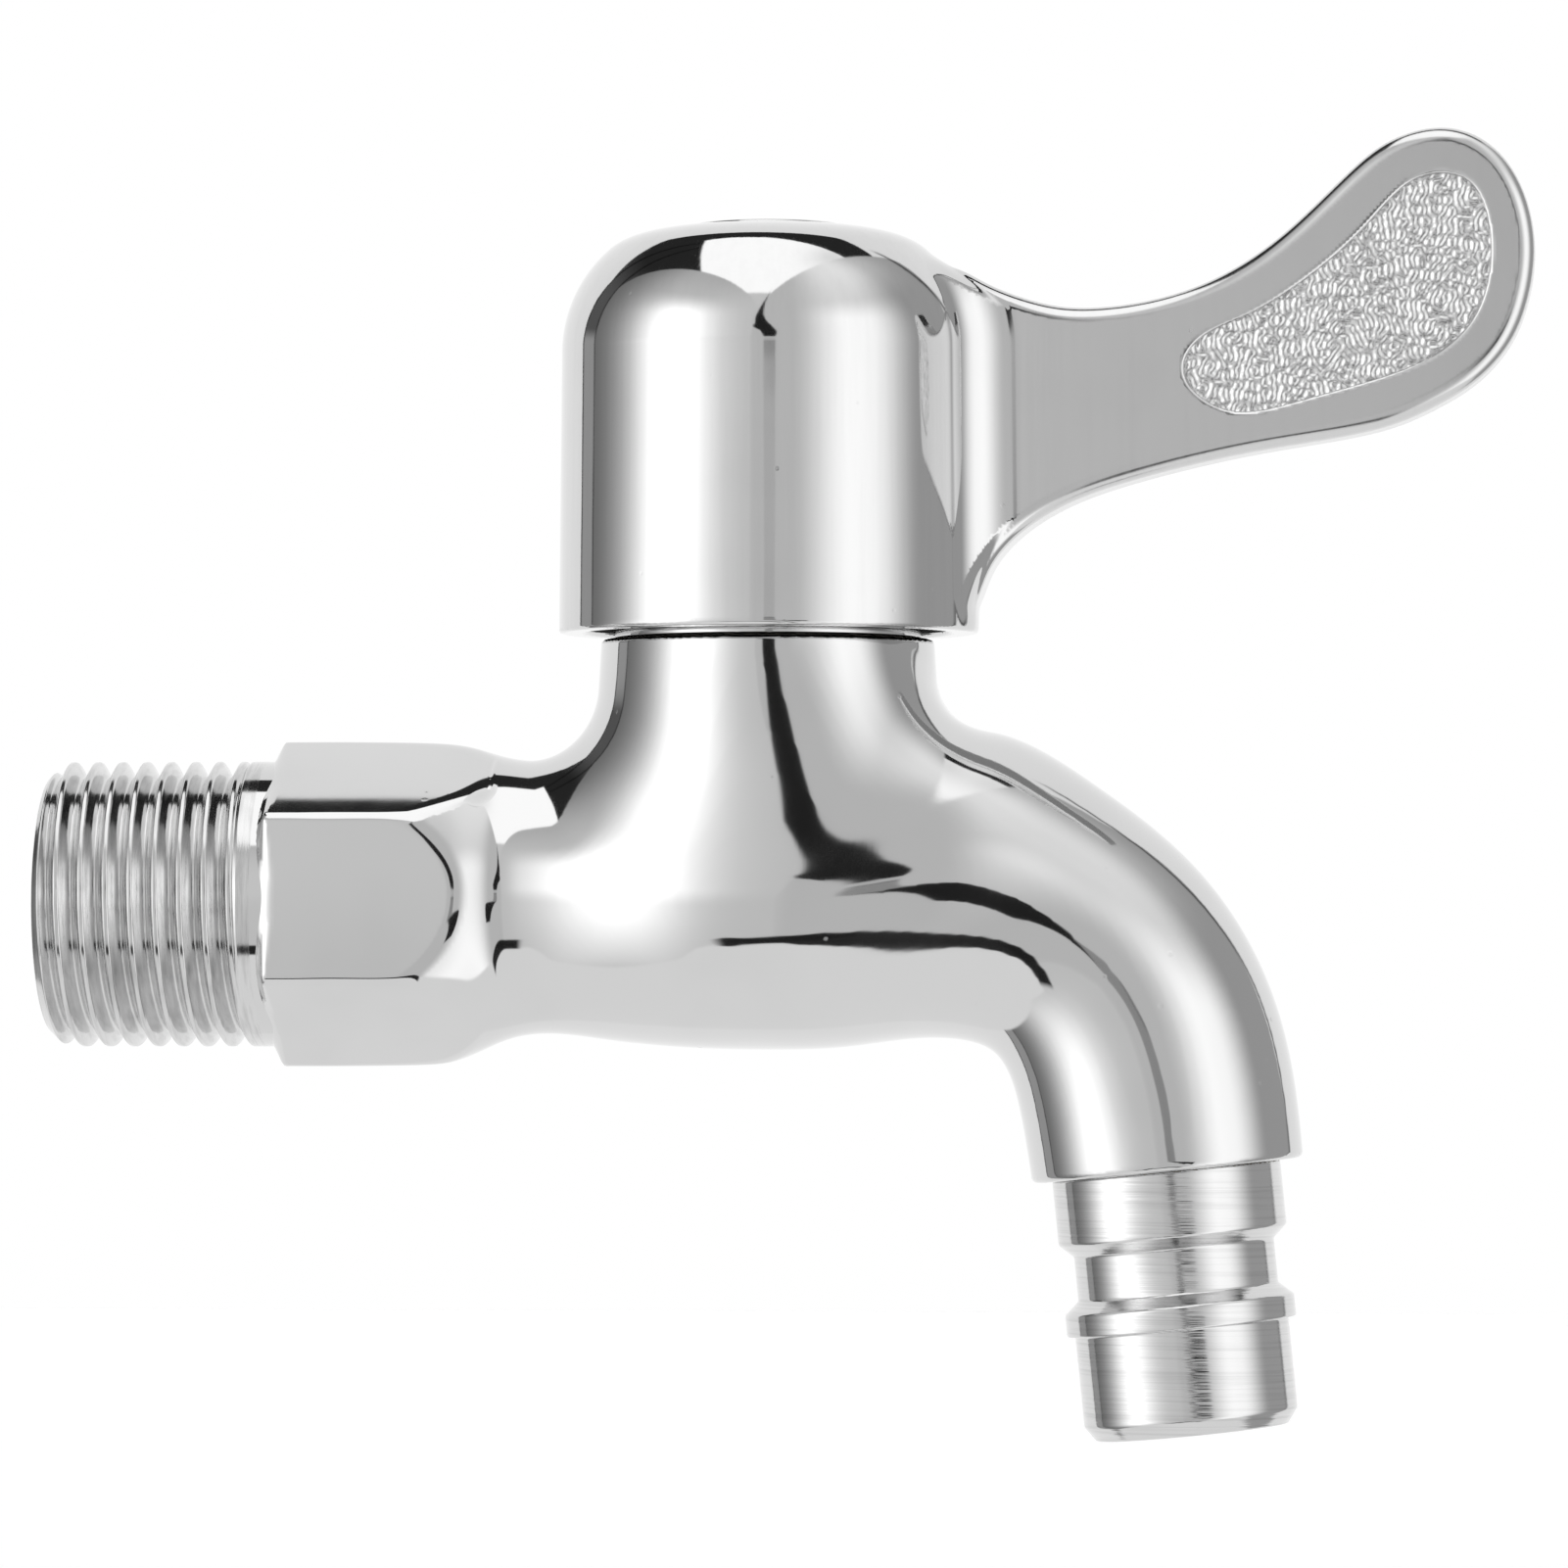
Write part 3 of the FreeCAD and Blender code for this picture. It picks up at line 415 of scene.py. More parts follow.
class Body:
    field = staticmethod(body_field)
    plan = staticmethod(spine_place)

    @staticmethod
    def polish(x, y, z):
        """Where the casting's forms run softly into each other."""
        end = beyond_spout(x, z)
        return ease(x, 21.0, 26.0) * ease(z, 18.4, 16.4) * ease(end, -2.0, -6.0)

    @staticmethod
    def moved(plan, dx, dz):
        return plan


def thread_grid():
    """Rows of points round the right-hand inlet thread, its end face and its bore."""
    turns, rows = 240, 355
    psi = np.linspace(0, 2 * math.pi, turns, endpoint=False)[None, :]
    x = np.linspace(INLET_X, 1.4, rows)[:, None]
    phase = ((x - FIRST_CREST_X) / PITCH - psi / (2 * math.pi)) % 1
    from_crest = np.minimum(phase, 1 - phase) * PITCH
    flank = (from_crest - 0.16) / math.tan(FLANK_ANGLE)
    depth = THREAD_DEPTH
    low = 0.5 * (flank + depth - np.sqrt((flank - depth) ** 2 + 0.05))
    drop = 0.5 * (low + np.sqrt(low ** 2 + 0.02)) - 0.04
    fade = np.clip((-1.1 - x + PITCH * (psi / (2 * math.pi) - 0.5) * 0.5) / 0.6, 0, 1)
    drop = np.clip(drop, 0, depth) * fade ** 2 * (3 - 2 * fade)
    radius = THREAD_R - drop
    lead = THREAD_R - 1.0 + (x - INLET_X)
    radius = -soft_max(-radius, -lead - 0 * psi, 0.25)
    outer = np.stack([x + 0 * psi, -radius * np.sin(psi), radius * np.cos(psi)], axis=-1)
    rings = [outer]
    inwards = (
        (INLET_X, 9.2), (INLET_X, 8.4), (INLET_X, 7.5), (INLET_X, 7.25), (INLET_X + 0.08, 7.07),
        (INLET_X + 0.25, BORE_R), (-8.0, BORE_R), (0.0, BORE_R),
    )
    for at_x, at_r in inwards:
        ring = np.stack(
            [at_x + 0 * psi, -at_r * np.sin(psi), at_r * np.cos(psi)], axis=-1
        )
        rings.insert(0, ring)
    return np.concatenate(rings, axis=0)


def grid_faces(rows, columns, wrap):
    """Quads of a grid of vertices, closed round its columns when wrap is true."""
    last = columns if wrap else columns - 1
    i, j = np.meshgrid(np.arange(rows - 1), np.arange(last), indexing="ij")
    after = (j + 1) % columns
    a, b = i * columns + j, i * columns + after
    c, d = (i + 1) * columns + after, (i + 1) * columns + j
    return np.stack([a, b, c, d], axis=-1).reshape(-1, 4)


def join(name, pieces):
    """One object out of several, kept under the first one's mesh."""
    bpy.ops.object.select_all(action="DESELECT")
    for piece in pieces:
        piece.select_set(True)
    bpy.context.view_layer.objects.active = pieces[0]
    bpy.ops.object.join()
    pieces[0].name = name
    pieces[0].data.name = name
    return pieces[0]


def make_body():
    shell = implicit_mesh("body_shell", Body, (-0.3, -14.7, -20.9), (76.5, 14.7, 21.9), 0.3)
    grid = thread_grid()
    rows, columns = grid.shape[:2]
    faces = grid_faces(rows, columns, True)[:, ::-1]
    thread = make_mesh("body_thread", grid.reshape(-1, 3), faces)
    return join("tap_body_skin", [shell, thread])


# Lathe work: the nozzle and the button
def lathe(name, profile, place, axis, radial, turns=256):
    """Turns (along, radius) points about an axis that starts at place."""
    other = np.cross(axis, radial)
    angle = np.linspace(0, 2 * math.pi, turns, endpoint=False)
    rim = np.cos(angle)[:, None] * radial + np.sin(angle)[:, None] * other
    along = np.array([p[0] for p in profile])
    radius = np.array([p[1] for p in profile])
    verts = place + along[:, None, None] * axis + radius[:, None, None] * rim[None]
    return make_mesh(name, verts.reshape(-1, 3), grid_faces(len(profile), turns, True))


def rounded(points, radius):
    """A profile with its corners cut by short arcs."""
    out = [points[0]]
    for before, corner, after in zip(points, points[1:], points[2:]):
        before, corner, after = map(np.array, (before, corner, after))
        one, two = before - corner, after - corner
        len_one, len_two = np.linalg.norm(one), np.linalg.norm(two)
        reach = min(radius, 0.45 * len_one, 0.45 * len_two)
        start, stop = corner + one / len_one * reach, corner + two / len_two * reach
        for share in (0, 0.12, 0.3, 0.5, 0.7, 0.88, 1):
            a, b = (1 - share) ** 2, share ** 2
            out.append(tuple(a * start + 2 * share * (1 - share) * corner + b * stop))
    out.append(points[-1])
    return out


def make_nozzle():
    axis = np.array([math.sin(TILT), 0, -math.cos(TILT)])
    radial = np.array([math.cos(TILT), 0, math.sin(TILT)])
    points = [
        (-7.2, 5.0), (-7.2, 7.3), (0.02, 7.3), (0.02, 8.33), (4.68, 8.33), (5.62, 7.3),
        (8.85, 7.3), (9.78, 8.36), (11.4, 8.36), (11.4, 7.78), (18.0, 7.78), (19.1, 7.0),
        (19.1, 5.35), (18.75, 5.0), (-7.2, 5.0),
    ]
    place = SPOUT_END - 0.12 * radial
    return lathe("nozzle_skin", rounded(points, 0.16), place, axis, radial)


# Handle: bell and lever
def outline_table(points, samples):
    """A closed smooth outline (x, z) through points, with its tangents."""
    loop = np.array(points + points[:1], dtype=float)
    loop = np.concatenate([loop[-4:-1], loop, loop[1:4]])
    chords = np.sqrt(np.linalg.norm(np.diff(loop, axis=0), axis=1))
    knots = np.concatenate([[0], np.cumsum(chords)])
    query = np.linspace(knots[3], knots[-4], samples, endpoint=False)
    step = query[1] - query[0]
    place = natural_spline(knots, loop, query)
    ahead = natural_spline(knots, loop, query + step / 50)
    tangent = ahead - place
    return place, tangent / np.linalg.norm(tangent, axis=1)[:, None]


def outline_distance(table, x, z):
    """Signed distance to a closed outline, negative inside, and its outward normal."""
    place, tangent = table
    shape = np.broadcast(x, z).shape
    x, z = np.broadcast_to(x, shape).ravel(), np.broadcast_to(z, shape).ravel()
    nearest = np.empty(len(x), dtype=int)
    coarse = slice(None, None, 6)
    px, pz = place[coarse].T
    for start in range(0, len(x), CHUNK):
        part = slice(start, start + CHUNK)
        far = (x[part, None] - px) ** 2 + (z[part, None] - pz) ** 2
        nearest[part] = far.argmin(axis=1) * 6
    count = len(place)
    gap = np.linalg.norm(np.roll(place, -1, axis=0) - place, axis=1)
    s = nearest.astype(float)
    for last in (False, False, False, True):
        i = np.floor(s).astype(int)
        share = (s - i)[:, None]
        i %= count
        j = (i + 1) % count
        q = place[i] * (1 - share) + place[j] * share
        t = tangent[i] * (1 - share) + tangent[j] * share
        if not last:
            ahead = ((x - q[:, 0]) * t[:, 0] + (z - q[:, 1]) * t[:, 1]) / gap[i]
            s = np.clip(s + ahead, nearest - 5, nearest + 5)
    normal_x, normal_z = -t[:, 1], t[:, 0]
    side = (x - q[:, 0]) * normal_x + (z - q[:, 1]) * normal_z
    far = np.hypot(x - q[:, 0], z - q[:, 1])
    side = np.where(far > 1.0, np.sign(side) * far, side)
    return tuple(a.reshape(shape) for a in (side, normal_x, normal_z))


LEVER_OUTLINE = [
    (9.0, 27.1), (13.6, 26.65), (16.3, 25.4), (19.9, 24.05), (23.5, 23.58), (30.6, 24.75),
    (37.8, 28.85), (43.5, 34.15), (46.3, 35.9), (49.2, 36.51), (52.0, 35.8), (54.5, 33.35),
    (56.0, 28.55), (55.5, 23.75), (54.1, 20.55), (51.8, 18.05), (49.0, 16.3), (44.9, 14.65),
    (36.3, 13.1), (27.4, 11.1), (21.0, 8.7), (16.6, 4.75), (15.0, 1.45), (12.0, 0.55),
    (5.0, 0.4), (-1.0, 14.0), (4.0, 27.2),
]
GRIP_OUTLINE = [
    (31.0, 17.95), (30.8, 19.85), (32.4, 21.6), (35.7, 23.1), (40.5, 26.25), (44.0, 29.45),
    (46.9, 32.35), (49.3, 33.1), (51.3, 32.45), (52.5, 30.25), (52.8, 26.75), (51.6, 22.65),
    (48.4, 19.75), (44.0, 18.05), (38.9, 16.65), (34.0, 16.0),
]


def in_frame(points):
    return [(TOWER_X + dx, RIM_Z + height) for dx, height in points]


LEVER_TABLE = outline_table(in_frame(LEVER_OUTLINE), 3000)
GRIP_TABLE = outline_table(in_frame(GRIP_OUTLINE), 1500)

def half_thickness(x):
    return 3.0 - 0.5 * np.clip((x - TOWER_X - 18.0) / 39.0, 0, 1)


def bell_distance(r, z):
    """Distance to the bell's outside: straight side, shoulder arc and shallow crown."""
    side = (r - RIM_R) + (z - RIM_Z) * BELL_LEAN / BELL_LEAN_HEIGHT
    shoulder = np.sqrt((r - SHOULDER_X) ** 2 + (z - SHOULDER_Z) ** 2) - SHOULDER_R
    above = np.where(r > SHOULDER_X, shoulder, z - SHOULDER_Z - SHOULDER_R)
    wall = np.where(z > SHOULDER_Z, above, side)
    crown = np.sqrt(r ** 2 + (z - CROWN_Z + CROWN_R) ** 2) - CROWN_R
    return soft_max(wall, crown, 0.9)


def handle_plan(x, z):
    """Distances to the lever's and the grip's outlines, each with its normal."""
    grip, grip_x, grip_z = outline_distance(GRIP_TABLE, x, z)
    return outline_distance(LEVER_TABLE, x, z) + (grip, grip_x, grip_z)


def handle_field(x, y, z, plan):
    """Signed distance to the handle, about true near its surface."""
    outline, out_x, out_z, grip = plan[:4]
    r = np.sqrt((x - TOWER_X) ** 2 + y ** 2) + 1e-9
    bell = bell_distance(r, z)
    half = half_thickness(x)
    a, b = outline + EDGE_ROUND, np.abs(y) - half + EDGE_ROUND
    over_a, over_b = np.maximum(a, 0), np.maximum(b, 0)
    over = np.sqrt(over_a ** 2 + over_b ** 2)
    lever = np.minimum(np.maximum(a, b), 0) + over - EDGE_ROUND
    # normals of both, for the fillet between them
    flat = a < b
    rounding, size = over > 1e-6, np.maximum(over, 1e-6)
    weight_a = np.where(rounding, over_a / size, np.where(flat, 0.0, 1.0))
    weight_b = np.where(rounding, over_b / size, np.where(flat, 1.0, 0.0))
    rise = np.clip((z - SHOULDER_Z) / SHOULDER_R, 0, 0.98)
    level = np.sqrt(1 - rise ** 2)
    cosine = (
        weight_a * out_x * (x - TOWER_X) / r * level
        + weight_a * out_z * rise
        + weight_b * np.sign(y) * y / r * level
    )
    joined = rolling_union(bell, lever, np.clip(cosine, -0.5, 0.999), 4.5)
    skin = np.where(x > TOWER_X + 6, joined, bell)
    skin = soft_max(skin, RIM_Z - z + 0 * r, 0.35)
    # the grip recess on both faces
    pocket = np.maximum(grip, half - GRIP_POCKET - np.abs(y))
    skin = soft_max(skin, -pocket, 0.3)
    # the inside of the bell, its boss and the holes through it
    inner_side = r - BELL_BORE_R + (z - RIM_Z) * BELL_LEAN / BELL_LEAN_HEIGHT
    inner = soft_max(inner_side, z - BELL_ROOF_Z + 0 * r, 3.0)
    boss = np.maximum(r - BOSS_R, BOSS_FOOT_Z - z)
    skin = soft_max(skin, -np.maximum(inner, -boss), 0.3)
    socket = np.maximum(r - SPLINE_SOCKET_R, z - SPLINE_SOCKET_TOP_Z)
    screw = np.maximum(r - SCREW_HOLE_R, SCREW_HOLE_FOOT_Z - z)
    counterbore = np.maximum(r - SCREW_HEAD_R, SCREW_HEAD_SEAT_Z - z)
    seat = np.maximum(r - CAP_SEAT_R, CAP_SEAT_Z - z)
    holes = np.minimum(np.minimum(socket, screw), np.minimum(counterbore, seat))
    return soft_max(skin, -holes, 0.12)


class Handle:
    field = staticmethod(handle_field)
    plan = staticmethod(handle_plan)

    @staticmethod
    def polish(x, y, z):
        return np.zeros_like(x)

    @staticmethod
    def moved(plan, dx, dz):
        outline, out_x, out_z, grip, grip_x, grip_z = plan
        outline = outline + dx * out_x + dz * out_z
        return outline, out_x, out_z, grip + dx * grip_x + dz * grip_z, grip_x, grip_z


def make_grip_pads():
    """The pebbled floor of the grip recess on each face."""
    step = 0.11  # millimetres between the points of the pebbles
    xs = np.arange(TOWER_X + 30.0, TOWER_X + 53.8, step)
    zs = np.arange(RIM_Z + 15.3, RIM_Z + 34.0, step)
    x, z = np.meshgrid(xs, zs, indexing="ij")
    inside = outline_distance(GRIP_TABLE, x, z)[0] < 0.25
    faces = grid_faces(len(xs), len(zs), False)
    faces = faces[inside.ravel()[faces].all(axis=1)]
    used = np.unique(faces)
    index = np.full(x.size, -1)
    index[used] = np.arange(len(used))
    pads = []
    for side in (-1, 1):
        level = half_thickness(x) - GRIP_DEPTH + pebbles(x, z, side)
        verts = np.stack([x, side * level, z], axis=-1).reshape(-1, 3)[used]
        quads = index[faces]
        quads = quads if side < 0 else quads[:, ::-1]
        pads.append(make_mesh(f"grip_pad_{side}", verts, quads))
    return pads


def pebbles(x, z, side):
    """Height of the recess floor: worm-like raised grains, from seeded random waves."""
    rng = np.random.default_rng(7 + side)
    height = np.zeros_like(x)
    waves = 46
    for _ in range(waves):
        turn = rng.uniform(0, math.pi)
        pitch = rng.uniform(0.60, 0.88)
        shift = rng.uniform(0, 2 * math.pi)
        along = x * math.cos(turn) + z * math.sin(turn)
        height += np.cos(2 * math.pi / pitch * along + shift)
    height /= math.sqrt(waves / 2)
    return 0.065 * np.tanh(1.6 * height)


def make_handle():
    low, high = (20.6, -15.8, 19.2), (93.2, 15.8, 56.9)
    bell = implicit_mesh("handle_skin", Handle, low, high, 0.25)
    return join("handle_skin", [bell] + make_grip_pads())


def make_index_cap():
    top = CROWN_Z
    points = [
        (top - 3.4, 3.9), (top - 3.4, 4.35), (top - 1.2, 4.35), (top - 1.2, 5.6),
        (top - 0.14, 5.6), (top - 0.02, 3.0), (top + 0.04, 0.01),
    ]
    axis, radial = np.array([0.0, 0, 1]), np.array([1.0, 0, 0])
    place = np.array([TOWER_X, 0, 0])
    return lathe("index_cap_skin", rounded(points, 0.25), place, axis, radial, 128)


body = make_body()
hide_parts("tap_body")
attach(body, "tap")

nozzle = make_nozzle()
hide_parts("nozzle")
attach(nozzle, "tap")

handle = make_handle()
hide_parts("handle")
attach(handle, "lever")

button = make_index_cap()
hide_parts("index_cap")
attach(button, "lever")


# Shader arithmetic: numbers in a node tree
class Signal:
    """One number of a node tree; arithmetic on it adds Math nodes."""

    def __init__(self, tree, socket):
        self.tree = tree
        self.socket = socket

    def plug(self, value, slot):
        if isinstance(value, Signal):
            self.tree.links.new(value.socket, slot)
        else:
            slot.default_value = value

    def math(self, operation, *others):
        node = self.tree.nodes.new("ShaderNodeMath")
        node.operation = operation
        for value, slot in zip((self, *others), node.inputs):
            self.plug(value, slot)
        return Signal(self.tree, node.outputs[0])

    def __add__(self, other):
        return self.math("ADD", other)

    def __sub__(self, other):
        return self.math("SUBTRACT", other)

    def __mul__(self, other):
        return self.math("MULTIPLY", other)

    def __truediv__(self, other):
        return self.math("DIVIDE", other)

    def smooth(self, low, high):
        """0 at low, 1 at high, eased at both ends; low may be the larger."""
        node = self.tree.nodes.new("ShaderNodeMapRange")
        node.interpolation_type = "SMOOTHSTEP"
        for value, name in ((self, "Value"), (low, "From Min"), (high, "From Max")):
            self.plug(value, node.inputs[name])
        return Signal(self.tree, node.outputs[0])

    def window(self, low, high, soft):
        """1 between low and high, eased over soft at both ends."""
        return self.smooth(low - soft, low + soft) * self.smooth(high + soft, high - soft)

    def curve(self, points):
        """A smooth line through (x, y) points, level beyond the first and the last."""
        low, high = np.min(points, axis=0), np.max(points, axis=0)
        node = self.tree.nodes.new("ShaderNodeFloatCurve")
        line = node.mapping.curves[0]
        places = (np.array(points) - low) / (high - low)
        for _ in places[2:]:
            line.points.new(0, 0)
        for point, place in zip(line.points, places):
            point.location = place
        node.mapping.update()
        share = (self - float(low[0])) / float(high[0] - low[0])
        self.tree.links.new(share.socket, node.inputs["Value"])
        return Signal(self.tree, node.outputs[0]) * float(high[1] - low[1]) + float(low[1])

    def hump(self, centre, width):
        """A bell curve of height 1."""
        away = (self - centre) / width
        return (away * away * -1.0).math("EXPONENT")

    def blend(self, other, share):
        """From self to other as share goes from 0 to 1."""
        return (self * -1.0 + other) * share + self


# Materials
class Paint:
    """A material whose colour, roughness and relief come from noise in object space."""

    def __init__(self, name, color, metallic, roughness):
        self.material = bpy.data.materials.new(name)
        self.material.use_nodes = True
        self.tree = self.material.node_tree
        self.shader = self.tree.nodes["Principled BSDF"]
        self.shader.inputs["Base Color"].default_value = (*color, 1)
        self.shader.inputs["Metallic"].default_value = metallic
        self.shader.inputs["Roughness"].default_value = roughness
        self.place = self.tree.nodes.new("ShaderNodeTexCoord").outputs["Object"]

    def mapped(self, stretch, turn):
        node = self.tree.nodes.new("ShaderNodeMapping")
        node.inputs["Scale"].default_value = stretch
        node.inputs["Rotation"].default_value = turn
        self.tree.links.new(self.place, node.inputs["Vector"])
        return node.outputs["Vector"]

    def noise(self, scale, detail=3.0, stretch=(1, 1, 1), turn=(0, 0, 0), roughness=0.55):
        """Noise of about scale bumps a metre, finer along the stretched axes."""
        node = self.tree.nodes.new("ShaderNodeTexNoise")
        node.inputs["Scale"].default_value = scale
        node.inputs["Detail"].default_value = detail
        node.inputs["Roughness"].default_value = roughness
        self.tree.links.new(self.mapped(stretch, turn), node.inputs["Vector"])
        return Signal(self.tree, node.outputs["Fac"])

    def pits(self, scale, low, high):
        """Sparse small round spots, 1 inside them."""
        node = self.tree.nodes.new("ShaderNodeTexVoronoi")
        node.inputs["Scale"].default_value = scale
        self.tree.links.new(self.place, node.inputs["Vector"])
        return Signal(self.tree, node.outputs["Distance"]).smooth(high, low)

    def axis(self, index):
        split = self.tree.nodes.new("ShaderNodeSeparateXYZ")
        self.tree.links.new(self.place, split.inputs[0])
        return Signal(self.tree, split.outputs[index]) / MM

    def shade(self, dark, light, share):
        """Base colour between two colours."""
        node = self.tree.nodes.new("ShaderNodeMix")
        node.data_type = "RGBA"
        node.inputs["A"].default_value = (*dark, 1)
        node.inputs["B"].default_value = (*light, 1)
        self.tree.links.new(share.socket, node.inputs["Factor"])
        self.tree.links.new(node.outputs["Result"], self.shader.inputs["Base Color"])

    def roughen(self, signal):
        self.tree.links.new(signal.socket, self.shader.inputs["Roughness"])

    def bump(self, signal, depth):
        """Relief of depth millimetres."""
        node = self.tree.nodes.new("ShaderNodeBump")
        node.inputs["Strength"].default_value = 1.0
        node.inputs["Distance"].default_value = depth * MM
        self.tree.links.new(signal.socket, node.inputs["Height"])
        self.tree.links.new(node.outputs["Normal"], self.shader.inputs["Normal"])


def grey(value):
    return value, value, value


CHROME, CHROME_WORN = grey(0.66), grey(0.63)


def chrome_casting():
    """Polished plated brass: faint waves of the casting, polishing strokes and a few nicks."""
    paint = Paint("chrome_casting", CHROME, 1.0, 0.05)
    clouds = paint.noise(90.0, 2.0)
    strokes = paint.noise(420.0, 4.0, (1.0, 1.0, 0.12))
    nicks = paint.pits(260.0, 0.03, 0.07)
    paint.shade(CHROME_WORN, CHROME, clouds.smooth(0.25, 0.55) * 0.7 + strokes * 0.3)
    paint.roughen(clouds * 0.03 + strokes * 0.05 + nicks * 0.2 + 0.015)
    paint.bump(clouds * 0.5 + strokes * 0.035 - nicks * 0.12, 0.03)
    return paint.material


def chrome_handle():
    """The bell and lever: brushed up and down before plating, satin on the lever's faces."""
    paint = Paint("chrome_handle", CHROME, 1.0, 0.06)
    clouds = paint.noise(120.0, 2.0)
    brushed = paint.noise(1500.0, 5.0, (1.0, 1.0, 0.035))
    nicks = paint.pits(300.0, 0.03, 0.06)
    mottle = clouds.smooth(0.25, 0.5) * 0.5 + brushed.smooth(0.3, 0.6) * 0.5
    paint.shade(CHROME_WORN, CHROME, mottle)
    face = paint.axis(0).smooth(TOWER_X + 16.5, TOWER_X + 21.0)
    paint.roughen(face * 0.12 + brushed * 0.08 + nicks * 0.2 + 0.01)
    paint.bump(clouds * 0.3 + brushed * 0.05 - nicks * 0.1, 0.03)
    return paint.material


def chrome_button():
    """The index cap on the bell's crown, with fine rings from its turning."""
    paint = Paint("chrome_button", CHROME, 1.0, 0.08)
    x, y = paint.axis(0) - TOWER_X, paint.axis(1)
    radius = (x * x + y * y).math("SQRT")
    rings = (radius * 40.0).math("SINE")
    clouds = paint.noise(300.0)
    paint.shade(CHROME_WORN, CHROME, clouds.smooth(0.3, 0.6))
    paint.roughen(clouds * 0.08 + rings * 0.02 + 0.04)
    paint.bump(rings * 0.2 + clouds, 0.004)
    return paint.material


def turned_chrome():
    """The nozzle: lathe grooves round its tilted axis, a little uneven, under the plating."""
    paint = Paint("turned_chrome", CHROME, 1.0, 0.12)
    lean = (0, TILT, 0)
    grooves = paint.noise(130.0, 4.0, (0.35, 0.35, 32.0), lean)
    clouds = paint.noise(200.0)
    paint.shade(grey(0.58), CHROME, grooves.smooth(0.3, 0.55))
    paint.roughen(grooves * 0.10 + clouds * 0.05 + 0.02)
    paint.bump(grooves, 0.02)
    return paint.material


def plated_thread():
    """The inlet thread: plating over cut brass, with fine marks across the crests."""
    paint = Paint("plated_thread", CHROME, 1.0, 0.1)
    marks = paint.noise(1000.0, 4.0, (4.0, 0.3, 0.3))
    clouds = paint.noise(160.0)
    mottle = marks.smooth(0.28, 0.6) * 0.6 + clouds.smooth(0.3, 0.5) * 0.4
    paint.shade(grey(0.46), CHROME, mottle)
    paint.roughen(marks * 0.16 + clouds * 0.05 + 0.02)
    paint.bump(marks, 0.012)
    return paint.material


def pebbled():
    """The grip's pebbled floor."""
    paint = Paint("pebbled_chrome", CHROME, 1.0, 0.2)
    grain = paint.noise(2600.0, 3.0)
    paint.shade(grey(0.56), grey(0.70), grain.smooth(0.3, 0.6))
    paint.roughen(grain * 0.16 + 0.14)
    paint.bump(grain, 0.02)
    return paint.material


def raw_casting(name, dark, light, roughness):
    """Unplated sand-cast metal, grainy and uneven."""
    paint = Paint(name, light, 1.0, roughness)
    sand = paint.noise(900.0, 6.0, roughness=0.7)
    stains = paint.noise(110.0, 3.0)
    paint.shade(dark, light, stains.smooth(0.35, 0.65) * 0.6 + sand * 0.4)
    paint.roughen(sand * 0.3 + roughness - 0.12)
    paint.bump(sand, 0.09)
    return paint.material


def turned_metal(name, dark, light, roughness, groove):
    """Metal turned about the tower's axis: fine level rings and faint stains."""
    paint = Paint(name, light, 1.0, roughness)
    rings = paint.noise(140.0, 5.0, (1.5, 1.5, 60.0), roughness=0.7)
    stains = paint.noise(150.0, 3.0)
    paint.shade(dark, light, rings.smooth(0.3, 0.6) * 0.5 + stains.smooth(0.35, 0.65) * 0.5)
    paint.roughen(rings * 0.18 + stains * 0.1 + roughness - 0.12)
    paint.bump(rings, groove)
    return paint.material


def moulded(name, dark, light, roughness, scale, depth):
    """Rubber, plastic, fibre or fired ceramic: a fine grain over a soft mottle."""
    paint = Paint(name, light, 0.0, roughness)
    grain = paint.noise(scale, 5.0, roughness=0.65)
    mottle = paint.noise(180.0, 2.0)
    paint.shade(dark, light, grain.smooth(0.3, 0.65) * 0.6 + mottle * 0.4)
    paint.roughen(grain * 0.2 + roughness - 0.1)
    paint.bump(grain, depth)
    return paint.material


def wear(piece, *materials):
    piece.data.materials.clear()
    for made in materials:
        piece.data.materials.append(made)


def dress_faces(piece, slot, chosen):
    """Gives the faces whose centres are chosen the material in a slot."""
    mesh = piece.data
    centres = np.empty(len(mesh.polygons) * 3)
    mesh.polygons.foreach_get("center", centres)
    index = np.empty(len(mesh.polygons), dtype=np.int32)
    mesh.polygons.foreach_get("material_index", index)
    index[chosen(*(centres.reshape(-1, 3).T / MM))] = slot
    mesh.polygons.foreach_set("material_index", index)


